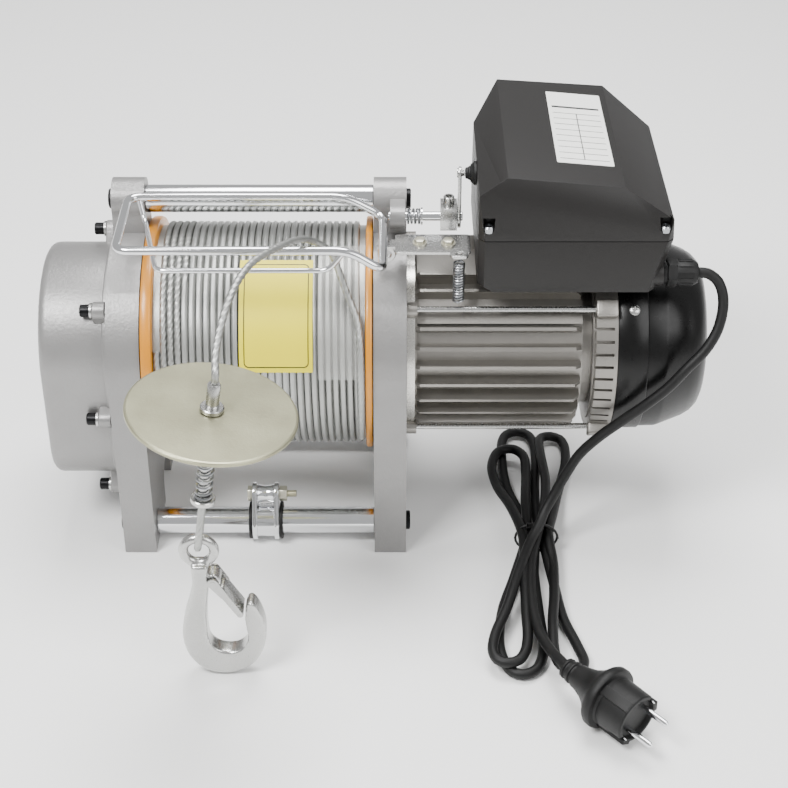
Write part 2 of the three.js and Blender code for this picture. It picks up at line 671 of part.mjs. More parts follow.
function hookOutline() {
  const outer = [
    [32.6, 68], [35.5, 73], [39.5, 70], [45, 56], [46.5, 40], [43.5, 24], [35, 10], [23, 3], [12, 1.2],
    [-1, 5], [-12, 18], [-16.5, 36], [-14.5, 55], [-9, 75], [-6, 92], [-6.5, 107],
  ];
  const inner = [[6.5, 107], [6.2, 96], [5.5, 84], [3.6, 68], [2.6, 50], [2.9, 38]];
  const shape = new THREE.Shape();
  shape.moveTo(31, 55);
  shape.splineThru(outer.map(([x, z]) => new THREE.Vector2(x, z)));
  shape.splineThru(inner.map(([x, z]) => new THREE.Vector2(x, z)));
  shape.absarc(17.9, 38, 15, Math.PI, 2 * Math.PI - 0.1, false);
  return shape;
}

function hook() {
  const eye = new THREE.TorusGeometry(11.3, 3.8, 8, 20).rotateX(Math.PI / 2).translate(0, 0, HOOK_EYE_Z);
  const boss = new THREE.Shape().absarc(LATCH_PIVOT.x - 0.5, LATCH_PIVOT.z, 5.5, 0, 2 * Math.PI, false);
  const pinHole = new THREE.Shape().absarc(LATCH_PIVOT.x, LATCH_PIVOT.z, 2.3, 0, 2 * Math.PI, false);
  const body = joined(prismY(hookOutline(), -7.5, 7.5, 2), eye, prismY(boss, -6.5, 6.5, 6));
  return cut(body, prismY(pinHole, -9, 9, 4));
}

function hookLatch() {
  const { x, z } = LATCH_PIVOT;
  const cheek = linkOutline(x, z, 4, 17, 81.6, 3);
  const tongue = linkOutline(15.4, 84, 2.6, 28.2, 62.5, 2.4);
  const pin = new THREE.Shape().absarc(x, z, 2, 0, 2 * Math.PI, false);
  return joined(
    prismY(cheek, -9.3, -7.9, 5),
    prismY(cheek, 7.9, 9.3, 5),
    prismY(tongue, -9.3, 9.3, 5),
    prismY(pin, -9.3, 9.3, 4),
  );
}

const atHook = (geometry) => geometry.translate(HOOK_X, HOOK_LINE.y, 0);

// ---- rope anchor on the front rod -----------------------------------------------------------------
function anchorClamp() {
  const cheek = linkOutline(FRONT_ROD.y, FRONT_ROD.z, 16.4, ANCHOR_BOLT.y, ANCHOR_BOLT.z, 9.5);
  const body = joined(
    prismX(cheek, ANCHOR_X - 11, ANCHOR_X - 7, 8), prismX(cheek, ANCHOR_X + 7, ANCHOR_X + 11, 8),
    barX(ANCHOR_X - 8, ANCHOR_X + 8, 14, FRONT_ROD),
  );
  const rodHole = barX(ANCHOR_X - 12, ANCHOR_X + 12, ROD_R + GAP, FRONT_ROD);
  const tools = [rodHole, barX(-110, -60, 3.3, ANCHOR_BOLT, 12)];
  return cut(body, ...tools);
}

const anchorRoller = () => turnedX([
  [ANCHOR_X - 6.6, 3.4], [ANCHOR_X + 6.6, 3.4], [ANCHOR_X + 6.6, 8], [ANCHOR_X, 6.6], [ANCHOR_X - 6.6, 8],
  [ANCHOR_X - 6.6, 3.4],
], ANCHOR_BOLT, 16);

const anchorBolt = () => turnedX([
  [-106.6, 0], [-106.6, 6.4], [-102.8, 6.4], [-102.8, 3], [-80.2, 3], [-80.2, 6.4], [-74, 6.4], [-74, 3],
  [-66, 3], [-66, 0],
], ANCHOR_BOLT, 12);

// ---- power cable ----------------------------------------------------------------------------------
const CABLE_ROUTE = [
  [250.3, 26, 247.5], [257, 25.6, 247], [265, 22, 242], [269.3, 15, 230], [266.5, 6, 211], [257.5, -1, 195],
  [243, -6.5, 180], [230, -8.5, 164], [214, -8.8, 148], [196, -5, 129], [180, 0, 110], [166, 4, 90],
  [156, 4, 70], [147, 0, 52], [139, -7, 39], [134.6, -15, 32.6], [133.6, -24, 31.6],
];

function powerCable() {
  const points = CABLE_ROUTE.map((p) => new THREE.Vector3(...p));
  return swept(new THREE.CatmullRomCurve3(points, false, 'centripetal'), CABLE_R, 8, 24);
}

// The folded bundle's outer shape on the floor, narrow at the tie and round at both ends.
function cableHank() {
  const side = [
    [113, -8], [95, -55], [82, -105], [84, -143], [98, -168], [137, -172], [160, -166], [172, -145], [169, -118],
    [159, -75], [154, -30], [152, 10], [166, 60], [176, 110], [172, 146], [158, 162], [126, 162], [107, 140],
    [97, 100], [99, 60], [112, 18],
  ];
  const shape = new THREE.Shape();
  shape.moveTo(...side[0]);
  shape.splineThru([...side.slice(1), side[0]].map(([x, y]) => new THREE.Vector2(x, y)));
  return extruded(shape, HANK_TOP - GAP, 1).translate(0, 0, GAP);
}

// The plug is made along +X from its cable end and laid on the floor.
const onFloor = (geometry) => geometry.rotateZ(PLUG_TURN).translate(PLUG_TAIL.x, PLUG_TAIL.y, PLUG_TAIL.z);

function plugBody() {
  const profile = [
    [0, 0], [0, 7.8], [8, 8.6], [14, 9.6], [22, 11.5], [31, 16.5], [37, 22.5], [41, 25], [46, 25], [47, 20.5],
    [72, 19.5], [72, 0],
  ];
  return onFloor(turnedX(profile, { y: 0, z: 0 }, 24));
}

function plugPins() {
  const origin = { y: 0, z: 0 };
  const pins = [-9.5, 9.5].map((y) => barX(73, 93, 2.4, { y, z: 0 }, 10));
  return onFloor(joined(barX(72.3, 74, 17, origin, 20), ...pins).rotateX(0.6));
}

// ---- assembly ---------------------------------------------------------------------------------------
const group = new THREE.Group();

function add(name, geometry, material) {
  const mesh = new THREE.Mesh(cleaned(geometry), material);
  mesh.name = name;
  group.add(mesh);
}

add('left_end_plate', leftEndPlate(), CAST);
add('right_end_plate', rightEndPlate(), CAST);
add('top_tie_rod', tieRod(TOP_ROD), CHROME);
add('front_tie_rod', tieRod(FRONT_ROD), CHROME);
add('rear_tie_rod', tieRod(REAR_ROD), CHROME);
[TOP_ROD, FRONT_ROD, REAR_ROD].forEach((rod, i) => {
  add(`tie_rod_screw_${2 * i + 1}`, rodScrew(rod, -1), BLACK_STEEL);
  add(`tie_rod_screw_${2 * i + 2}`, rodScrew(rod, 1), BLACK_STEEL);
});

add('gearbox_cover', gearboxCover(), CAST);
add('cover_gasket', coverGasket(), RUBBER);
add('drum_gear', drumGear(), STEEL);
add('layshaft', layshaft(), STEEL);
add('layshaft_gear', layshaftGear(), STEEL);
add('motor_shaft', motorShaft(), STEEL);

add('drum_core', drumCore(), STEEL);
add('left_drum_flange', drumFlange(LEFT_FLANGE_X), ORANGE);
add('right_drum_flange', drumFlange(RIGHT_FLANGE_X), ORANGE);
add('rope_coil', ropeCoil(), ROPE);

add('motor_housing', motorHousing(), ALUMINIUM);
add('motor_end_ring', motorEndRing(), ALUMINIUM);
BOLTS.forEach((k) => add(`through_bolt_${k + 1}`, throughBolt(k), STEEL));
add('stator', stator(), COPPER);
add('rotor', rotor(), STEEL);
add('cooling_fan', coolingFan(), GREY_PLASTIC);
add('fan_cover', fanCover(), GLOSS_BLACK);

add('box_base', boxBase(), CHARCOAL);
add('box_lid', boxLid(), CHARCOAL);
add('cable_gland', cableGland(), RUBBER);
add('switch_boot', switchBoot(), RUBBER);
add('limit_switch', limitSwitch(), GREY_PLASTIC);
add('contactor', contactor(), GREY_PLASTIC);
add('run_capacitor', runCapacitor(), GREY_PLASTIC);

add('limit_bail', limitBail(), CHROME);
add('bail_shaft', bailShaft(), CHROME);
add('bail_shaft_spring', bailShaftSpring(), STEEL);
add('lever_clamp', leverClamp(), ZINC);
add('crank_lever', crankLever(), ZINC);
add('limit_bracket', limitBracket(), ZINC);
add('bail_return_spring', bailReturnSpring(), STEEL);

add('rope_tail', ropeTail(), ROPE);
add('rope_ferrule', onHookLine(ropeFerrule()), ZINC);
add('limit_disc', onHookLine(limitDisc()), ZINC);
add('buffer_spring', onHookLine(bufferSpring()), STEEL);
add('spring_seat', onHookLine(springSeat()), ZINC);
add('rope_eye', onHookLine(ropeEye()), ROPE);
add('hook', atHook(hook()), ZINC);
add('hook_latch', atHook(hookLatch()), ZINC);

add('anchor_clamp', anchorClamp(), CHROME);
add('anchor_roller', anchorRoller(), CHROME);
add('anchor_bolt', anchorBolt(), ZINC);

add('power_cable', powerCable(), RUBBER);
add('cable_hank', cableHank(), RUBBER);
add('plug_body', plugBody(), RUBBER);
add('plug_pins', plugPins(), CHROME);

export default group;
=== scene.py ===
"""Electric wire rope puller: the visual model on its CAD frame."""
import math

import bpy
from mathutils import Matrix, Vector


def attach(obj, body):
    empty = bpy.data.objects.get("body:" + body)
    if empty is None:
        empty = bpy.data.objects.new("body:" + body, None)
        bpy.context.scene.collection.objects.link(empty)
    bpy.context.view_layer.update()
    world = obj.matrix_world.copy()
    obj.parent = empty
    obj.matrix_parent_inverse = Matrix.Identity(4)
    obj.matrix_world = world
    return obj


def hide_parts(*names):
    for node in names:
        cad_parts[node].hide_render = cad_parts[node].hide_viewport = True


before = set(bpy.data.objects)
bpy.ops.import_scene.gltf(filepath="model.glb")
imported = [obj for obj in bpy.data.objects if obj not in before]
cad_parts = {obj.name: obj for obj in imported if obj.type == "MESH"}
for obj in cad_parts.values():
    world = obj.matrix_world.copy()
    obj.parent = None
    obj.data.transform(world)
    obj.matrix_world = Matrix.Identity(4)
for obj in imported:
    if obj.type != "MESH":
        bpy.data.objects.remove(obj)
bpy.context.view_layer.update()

MM = 0.001
AXIS = (79, 160)
TOP_ROD, FRONT_ROD, REAR_ROD = (100, 272.5), (10, 17), (148, 17)
BAIL_SHAFT = (75, 270)
HOOK_LINE = Vector((-111.2, -151.5, 238))
HOOK_TILT = math.radians(8)
HOOK_X = -127.5
ANCHOR_X = -91.5
ANCHOR_BOLT = (15, 41)
BOLT_ANGLES = [45, 135, 225, 315]
LID_SCREWS = ((86.6, 18.4), (220, 19))
GLAND = (26, 247.5)
ROPE_RADIUS = 2.75
LEAD_RADIUS = 4.2
PLUG_ROLL = 34
MERGE_GAP = 0.000002
CAMERA_PLACE = (0.0151, -1.1403, 0.9354)
CAMERA_PITCH = 55.5
CAMERA_LENS = 80


# ---- materials ---------------------------------------------------------------------------------
def srgb(red, green, blue):
    """Linear colour from 0 to 255 display values."""
    return tuple((c / 255) ** 2.2 for c in (red, green, blue)) + (1.0,)


def node(tree, kind, **values):
    made = tree.nodes.new(kind)
    for name, value in values.items():
        made.inputs[name.replace("_", " ")].default_value = value
    return made


def material(name, colour, rough, metal=0.0, grain=0.15, scale=900.0, spread=0.07, coat=0.0, specular=0.5):
    """A procedural finish: fine grain in the surface, and slow drifts of tone and roughness."""
    mat = bpy.data.materials.new(name)
    mat.use_nodes = True
    tree = mat.node_tree
    link = tree.links.new
    shader = tree.nodes["Principled BSDF"]
    shader.inputs["Metallic"].default_value = metal
    shader.inputs["Coat Weight"].default_value = coat
    shader.inputs["Coat Roughness"].default_value = 0.1
    shader.inputs["Specular IOR Level"].default_value = specular
    place = node(tree, "ShaderNodeTexCoord")
    fine = node(tree, "ShaderNodeTexNoise", Scale=scale, Detail=6.0, Roughness=0.6)
    slow = node(tree, "ShaderNodeTexNoise", Scale=28.0, Detail=4.0, Roughness=0.55)
    link(place.outputs["Object"], fine.inputs["Vector"])
    link(place.outputs["Object"], slow.inputs["Vector"])
    tone = node(tree, "ShaderNodeMix")
    tone.data_type = "RGBA"
    dark = [c * (1 - spread * 2) for c in colour[:3]] + [1]
    light = [min(1, c * (1 + spread)) for c in colour[:3]] + [1]
    tone.inputs[6].default_value = dark
    tone.inputs[7].default_value = light
    link(slow.outputs["Fac"], tone.inputs[0])
    link(tone.outputs[2], shader.inputs["Base Color"])
    shine = node(tree, "ShaderNodeMapRange")
    shine.inputs["To Min"].default_value = max(0.02, rough - 0.09)
    shine.inputs["To Max"].default_value = min(1.0, rough + 0.09)
    link(fine.outputs["Fac"], shine.inputs["Value"])
    link(shine.outputs["Result"], shader.inputs["Roughness"])
    raised = node(tree, "ShaderNodeBump", Strength=grain, Distance=0.0004)
    link(fine.outputs["Fac"], raised.inputs["Height"])
    link(raised.outputs["Normal"], shader.inputs["Normal"])
    return mat


def clear_film():
    mat = material("clear_film", srgb(225, 225, 220), 0.16, grain=0.35, scale=160.0, coat=0.6)
    mat.node_tree.nodes["Principled BSDF"].inputs["Alpha"].default_value = 0.14
    return mat


CAST = material("cast_paint", srgb(142, 141, 140), 0.4, 0.55, grain=0.7, scale=380.0, spread=0.09)
CHROME = material("chrome", srgb(226, 227, 229), 0.1, 1.0, grain=0.04, scale=1800.0, spread=0.02)
ZINC = material("zinc_matt", srgb(205, 202, 184), 0.34, 0.85, grain=0.2, scale=700.0, spread=0.07)
DISC_ZINC = material("disc_zinc", srgb(164, 162, 136), 0.38, 0.8, grain=0.3, scale=420.0, spread=0.2)
BRIGHT_ZINC = material("zinc_bright", srgb(192, 192, 190), 0.26, 1.0, grain=0.16, scale=900.0, spread=0.08)
ORANGE = material("orange_paint", srgb(200, 128, 0), 0.38, grain=0.12, scale=700.0, spread=0.05, coat=0.25)
ROPE = material("galvanised_rope", srgb(176, 177, 174), 0.38, 0.9, grain=0.5, scale=1500.0, spread=0.12)
ALUMINIUM = material("cast_aluminium", srgb(150, 147, 142), 0.36, 0.85, grain=0.45, scale=620.0, spread=0.12)
BRIGHT_ALU = material("machined_aluminium", srgb(214, 212, 206), 0.28, 0.95, spread=0.05)
GLOSS_BLACK = material(
    "gloss_black", srgb(10, 10, 10), 0.3, grain=0.03, scale=260.0, spread=0.1, specular=0.3,
)
CHARCOAL = material(
    "charcoal_plastic", srgb(22, 20, 19), 0.46, grain=0.3, scale=1300.0, spread=0.04, specular=0.4,
)
RUBBER = material("black_rubber", srgb(10, 10, 10), 0.55, grain=0.2, scale=1000.0, spread=0.08, specular=0.35)
BLACK_STEEL = material("black_oxide", srgb(26, 26, 27), 0.34, 0.7, grain=0.15, scale=1200.0, spread=0.1)
STEEL = material("machined_steel", srgb(160, 162, 165), 0.3, 1.0, grain=0.15, scale=1200.0, spread=0.06)
COPPER = material("copper_windings", srgb(190, 112, 66), 0.4, 0.8, grain=0.4, scale=900.0, spread=0.12)
GREY_PLASTIC = material("grey_plastic", srgb(140, 143, 146), 0.5, 0.0, grain=0.15, scale=900.0, spread=0.04)
WHITE_LABEL = material("white_label", srgb(236, 236, 232), 0.35, 0.0, grain=0.03, scale=400.0, spread=0.02)
YELLOW_LABEL = material("yellow_label", srgb(222, 208, 0), 0.45, 0.0, grain=0.05, scale=300.0, spread=0.02)
INK = material("label_ink", srgb(30, 30, 30), 0.45, 0.0, grain=0.03, scale=400.0, spread=0.02)
FILM = clear_film()


# ---- modelling helpers ---------------------------------------------------------------------------
def activate(obj):
    bpy.ops.object.select_all(action="DESELECT")
    obj.select_set(True)
    bpy.context.view_layer.objects.active = obj


def made_up(points):
    """A new mesh of one chain of vertices, left in edit mode with everything selected."""
    bpy.ops.object.select_all(action="DESELECT")
    bpy.ops.mesh.primitive_plane_add(size=0.01, location=(0, 0, 0))
    obj = bpy.context.object
    bpy.ops.object.mode_set(mode="EDIT")
    bpy.ops.mesh.merge(type="CENTER")
    points = [Vector(p) * MM for p in points]
    bpy.ops.transform.translate(value=points[0])
    for a, b in zip(points, points[1:]):
        bpy.ops.mesh.extrude_vertices_move(TRANSFORM_OT_translate={"value": b - a})
    bpy.ops.mesh.select_all(action="SELECT")
    return obj


def tidy_normals():
    bpy.ops.mesh.select_all(action="SELECT")
    bpy.ops.mesh.remove_doubles(threshold=MERGE_GAP)
    bpy.ops.mesh.normals_make_consistent(inside=False)
    bpy.ops.object.mode_set(mode="OBJECT")


def lathe(profile, centre=AXIS, axis="X", steps=64, spin=360.0):
    """A turned piece: profile is [(place along the axis, radius)], centre the axis' other coordinates."""
    if axis == "X":
        points = [(a, r, 0) for a, r in profile]
        home = (0, centre[0] * MM, centre[1] * MM)
    else:
        points = [(r, 0, a) for a, r in profile]
        home = (centre[0] * MM, centre[1] * MM, 0)
    obj = made_up(points)
    bpy.ops.mesh.remove_doubles(threshold=MERGE_GAP)
    bpy.ops.object.mode_set(mode="OBJECT")
    screw = obj.modifiers.new("turn", "SCREW")
    screw.axis = axis
    screw.angle = math.radians(spin)
    screw.steps = screw.render_steps = steps
    screw.use_merge_vertices = True
    screw.merge_threshold = MERGE_GAP
    bpy.ops.object.modifier_apply(modifier=screw.name)
    bpy.ops.object.mode_set(mode="EDIT")
    tidy_normals()
    obj.location = home
    bpy.ops.object.transform_apply(location=True, rotation=False, scale=False)
    return obj


def rod(x0, x1, radius, centre, steps=32, axis="X"):
    return lathe([(x0, 0), (x0, radius), (x1, radius), (x1, 0)], centre, axis, steps)


def tube_ring(x0, x1, inner, outer, centre=AXIS, steps=64, axis="X"):
    return lathe([(x0, inner), (x1, inner), (x1, outer), (x0, outer), (x0, inner)], centre, axis, steps)


def prism(points, plane, low, high, round_cap=0.0):
    """An outline in a plane, given its thickness from low to high along the third axis."""
    lift = {
        "YZ": lambda p: (low, p[0], p[1]),
        "XZ": lambda p: (p[0], low, p[1]),
        "XY": lambda p: (p[0], p[1], low),
    }
    way = {"YZ": Vector((1, 0, 0)), "XZ": Vector((0, 1, 0)), "XY": Vector((0, 0, 1))}[plane]
    obj = made_up([lift[plane](p) for p in points])
    bpy.ops.mesh.edge_face_add()
    bpy.ops.mesh.extrude_region_move(TRANSFORM_OT_translate={"value": way * (high - low) * MM})
    if round_cap:
        bpy.ops.mesh.bevel(offset=round_cap * MM, segments=4, affect="EDGES")
    tidy_normals()
    return obj


def hull(points):
    obj = made_up(points)
    bpy.ops.mesh.convex_hull()
    tidy_normals()
    return obj


def box(x0, x1, y0, y1, z0, z1):
    bpy.ops.object.select_all(action="DESELECT")
    centre = [(a + b) / 2 * MM for a, b in ((x0, x1), (y0, y1), (z0, z1))]
    sides = [(b - a) * MM for a, b in ((x0, x1), (y0, y1), (z0, z1))]
    bpy.ops.mesh.primitive_cube_add(size=1, location=centre, scale=sides)
    bpy.ops.object.transform_apply(location=True, rotation=True, scale=True)
    return bpy.context.object


def combine(obj, others, operation):
    for other in others:
        activate(obj)
        mod = obj.modifiers.new("combine", "BOOLEAN")
        mod.operation = operation
        mod.solver = "EXACT"
        mod.object = other
        bpy.ops.object.modifier_apply(modifier=mod.name)
        bpy.data.objects.remove(other, do_unlink=True)
    return obj


def carve(obj, *cutters):
    return combine(obj, cutters, "DIFFERENCE")


def weld(obj, *others):
    return combine(obj, others, "UNION")


def joined(*objs):
    activate(objs[0])
    for o in objs:
        o.select_set(True)
    bpy.ops.object.join()
    return bpy.context.object


def softened(obj, width, segments=2, angle=35.0):
    activate(obj)
    mod = obj.modifiers.new("edge", "BEVEL")
    mod.width = width * MM
    mod.segments = segments
    mod.limit_method = "ANGLE"
    mod.angle_limit = math.radians(angle)
    mod.harden_normals = False
    bpy.ops.object.modifier_apply(modifier=mod.name)
    return obj


def forged(obj, grain, passes):
    """Melts every edge of a piece into one rounded skin."""
    activate(obj)
    skin = obj.modifiers.new("skin", "REMESH")
    skin.mode = "VOXEL"
    skin.voxel_size = grain * MM
    bpy.ops.object.modifier_apply(modifier=skin.name)
    melt = obj.modifiers.new("melt", "SMOOTH")
    melt.factor = 0.5
    melt.iterations = passes
    bpy.ops.object.modifier_apply(modifier=melt.name)
    return obj


def moved(obj, matrix):
    obj.matrix_world = matrix @ obj.matrix_world
    activate(obj)
    bpy.ops.object.transform_apply(location=True, rotation=True, scale=True)
    return obj


def turned(obj, angle, axis, pivot):
    """Turned by degrees about an axis through a pivot in millimetres."""
    home = Matrix.Translation(Vector(pivot) * MM)
    return moved(obj, home @ Matrix.Rotation(math.radians(angle), 4, axis) @ home.inverted())


def smooth_path(points, gap=2.0):
    """A smooth curve through the points, sampled about every gap millimetres."""
    pts = [Vector(p) for p in points]
    pts = [2 * pts[0] - pts[1]] + pts + [2 * pts[-1] - pts[-2]]
    path = []
    for p0, p1, p2, p3 in zip(pts, pts[1:], pts[2:], pts[3:]):
        knots = [0.0]
        for a, b in ((p0, p1), (p1, p2), (p2, p3)):
            knots.append(knots[-1] + max((b - a).length, 1e-6) ** 0.5)
        count = max(2, round((p2 - p1).length / gap))
        for i in range(count):
            t = knots[1] + (knots[2] - knots[1]) * i / count
            a1 = p0.lerp(p1, t / knots[1])
            a2 = p1.lerp(p2, (t - knots[1]) / (knots[2] - knots[1]))
            a3 = p2.lerp(p3, (t - knots[2]) / (knots[3] - knots[2]))
            b1 = a1.lerp(a2, t / knots[2])
            b2 = a2.lerp(a3, (t - knots[1]) / (knots[3] - knots[1]))
            path.append(b1.lerp(b2, (t - knots[1]) / (knots[2] - knots[1])))
    return path + [pts[-2]]


def bent_path(corners, bend):
    """Straight runs with round corners."""
    pts = [Vector(p) for p in corners]
    path = [pts[0]]
    for before, corner, after in zip(pts, pts[1:], pts[2:]):
        reach = min(bend, (corner - before).length * 0.48, (after - corner).length * 0.48)
        start = corner + (before - corner).normalized() * reach
        end = corner + (after - corner).normalized() * reach
        for i in range(9):
            t = i / 8
            path.append((1 - t) ** 2 * start + 2 * t * (1 - t) * corner + t * t * end)
    return path + [pts[-1]]


def cord_curve(path, radius, rings=4, section=None, twist=0.0, cyclic=False):
    """A curve object of one spline along the path, in millimetres; twist is in degrees per step."""
    bpy.ops.object.select_all(action="DESELECT")
    bpy.ops.curve.primitive_nurbs_path_add(location=(0, 0, 0))
    obj = bpy.context.object
    curve = obj.data
    curve.splines.clear()
    spline = curve.splines.new("POLY")
    spline.points.add(len(path) - 1)
    for i, p in enumerate(path):
        spline.points[i].co = (p[0] * MM, p[1] * MM, p[2] * MM, 1)
        spline.points[i].tilt = math.radians(twist * i)
    spline.use_cyclic_u = cyclic
    spline.use_smooth = True
    curve.twist_mode = "MINIMUM"
    curve.use_fill_caps = True
    if section:
        curve.bevel_mode = "OBJECT"
        curve.bevel_object = section
    else:
        curve.bevel_depth = radius * MM
        curve.bevel_resolution = rings
    return obj


def wire(path, radius, rings=3, cyclic=False):
    """A bent wire as a mesh."""
    obj = cord_curve(path, radius, rings, cyclic=cyclic)
    activate(obj)
    bpy.ops.object.convert(target="MESH")
    return bpy.context.object


def coil_path(radius, length, turns, per_turn=20, closed_ends=1.0):
    """A spring's centreline along +Z, its end turns closed up."""
    path = []
    for i in range(int(turns * per_turn) + 1):
        n = i / per_turn
        rise = min(max((n - closed_ends) / (turns - 2 * closed_ends), 0), 1)
        a = 2 * math.pi * n
        path.append(Vector((radius * math.cos(a), radius * math.sin(a), length * rise)))
    return path


def path_length(path):
    return sum((b - a).length for a, b in zip(path, path[1:])) * MM


def piece(obj, name, mat, body, slot, *nodes, angle=35.0):
    """Names a finished mesh, gives it its finish, ties it to its body, and hides the CAD nodes it stands in
    for.
    """
    obj.name = name
    obj.data.name = name
    obj.data.materials.clear()
    obj.data.materials.append(mat)
    if obj.type == "MESH":
        activate(obj)
        bpy.ops.object.shade_smooth_by_angle(angle=math.radians(angle))
    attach(obj, body)
    if nodes:
        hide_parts(*nodes)
    return obj


# ---- camera and cords ----------------------------------------------------------------------------
def camera():
    bpy.ops.object.camera_add(location=CAMERA_PLACE, rotation=(math.radians(CAMERA_PITCH), 0, 0))
    cam = bpy.context.object
    cam.data.lens = CAMERA_LENS
    cam.data.sensor_width = 36
    cam.data.clip_end = 20
    bpy.context.scene.camera = cam


def lobed_section(radius, strands=6):
    """The rope's section: a ring of round strands."""
    bpy.ops.object.select_all(action="DESELECT")
    bpy.ops.curve.primitive_nurbs_path_add(location=(0, 0, 0))
    obj = bpy.context.object
    obj.data.dimensions = "2D"
    obj.data.splines.clear()
    spline = obj.data.splines.new("POLY")
    count = strands * 3
    spline.points.add(count - 1)
    for i in range(count):
        a = 2 * math.pi * i / count
        r = radius * (0.8 if i % 3 == 0 else 1.0)
        spline.points[i].co = (r * math.cos(a) * MM, r * math.sin(a) * MM, 0, 1)
    spline.use_cyclic_u = True
    return obj


def twisted_rope(path, radius, lay=34.0):
    section = lobed_section(radius)
    gap = path_length(path) / MM / (len(path) - 1)
    rope = cord_curve(path, radius, section=section, twist=360.0 * gap / lay)
    activate(rope)
    bpy.ops.object.convert(target="MESH")
    bpy.data.objects.remove(section, do_unlink=True)
    return bpy.context.object


def along_line(z, y=0.0):
    """A point on the leaning hook line, z above the disc's underside."""
    return HOOK_LINE + Vector((math.sin(HOOK_TILT) * z, y, math.cos(HOOK_TILT) * z))


ROPE_TAIL_ROUTE = [
    (-10.6, -1.6, 111), (-10.6, -9.7, 127.7), (-10.6, -14.2, 145.6), (-10.6, -15.3, 164),
    (-10.8, -12.7, 182.4), (-11.2, -6.3, 200.3), (-13.4, 4.1, 217.4), (-20.9, 14.6, 234.5),
    (-27.2, 20.3, 252), (-33, 16, 271), (-45, 4, 287.5), (-54, -10.5, 297.2), (-66, -33, 305),
    (-86.9, -71, 310.5), (-99, -106, 303.4), (-106.5, -137, 282.5),
]
CABLE_ROUTE = [
    (250.3, 26, 247.5), (257, 25.6, 247), (265, 22, 242), (269.3, 15, 230), (266.5, 6, 211),
    (257.5, -1, 195), (243, -6.5, 180), (230, -8.5, 164), (214, -8.8, 148), (196, -5, 129), (180, 0, 110),
    (166, 4, 90), (156, 4, 70), (147, 0, 52), (139, -7, 39), (134.6, -15, 32.6),
]
# The lead's folded runs on the floor, from the tie round to the plug.
HANK_ROUTE = [
    (128, -26, 27), (116, -60, 22), (104, -100, 17), (93, -130, 14), (91, -147, 13), (94.2, -154.8, 12.4),
    (102, -158, 12), (110.4, -154.8, 12), (115.6, -146, 12.4), (118.4, -132, 13), (119, -105, 15),
    (120, -60, 19), (121, -16, 22), (114, 24, 19), (104, 62, 13), (101, 92, 12), (108, 113, 12),
    (120, 117, 12), (129, 106, 13), (130, 80, 14), (127, 40, 17), (125, -8, 14), (113, -52, 8),
    (101, -92, 5), (97, -130, 4.8), (100, -149, 4.8), (104.4, -159, 4.8), (113, -163, 4.8),
    (122.4, -159, 4.8), (128, -149, 4.8), (131, -132, 4.8), (130, -92, 5.5), (129, -50, 8), (131, -10, 11),
    (122, 30, 8), (113, 70, 5), (111, 110, 4.8), (112.6, 138, 4.8), (117, 148.6, 4.8), (126.4, 153, 4.8),
    (135.8, 148.6, 4.8), (140.2, 138, 4.8), (141, 110, 4.8), (137, 66, 5.5), (136, 20, 9), (139, -16, 12),
    (144, -60, 8), (149, -100, 5), (157, -130, 4.8), (161, -150, 5.5), (157.8, -158.4, 6.8),
    (149.8, -162, 8.6), (141.8, -158.4, 10.6), (138.4, -149, 12.6), (139, -116, 14), (143, -78, 12),
    (145, -40, 12), (143, -12, 18), (150, 26, 12), (158, 66, 6), (167, 106, 5), (168, 132, 5),
    (164.8, 141.4, 5), (156.8, 145, 5.6), (148.8, 141.4, 7), (145.2, 132, 9), (145, 108, 12), (146, 66, 16),
    (142, 24, 19), (134, -12, 22), (126, -50, 19), (124, -92, 17), (127, -126, 17), (134, -152, 20),
    (141.5, -170, 24), (144.2, -177.3, 25.3),
]


def rope_tail():
    end = along_line(27.4)
    path = smooth_path(ROPE_TAIL_ROUTE + [tuple(along_line(33.4)), tuple(end)], 1.6)
    rope = twisted_rope(path, ROPE_RADIUS)
    piece(rope, "rope_tail_strands", ROPE, "frame", "rope", "rope_tail", angle=60)
    return rope, path


def mains_lead():
    path = smooth_path(CABLE_ROUTE + HANK_ROUTE, 4.0)
    lead = cord_curve(path, LEAD_RADIUS, rings=5)
    piece(lead, "mains_lead", RUBBER, "frame", "rubber", "power_cable", "cable_hank")
    return lead, path


# The plug is turned about +X from its cable end, then laid on the floor.
def on_floor(obj):
    heading = Matrix.Rotation(math.atan2(-0.753, 0.655), 4, "Z")
    return moved(obj, Matrix.Translation(Vector((144, -177, 25.3)) * MM) @ heading)


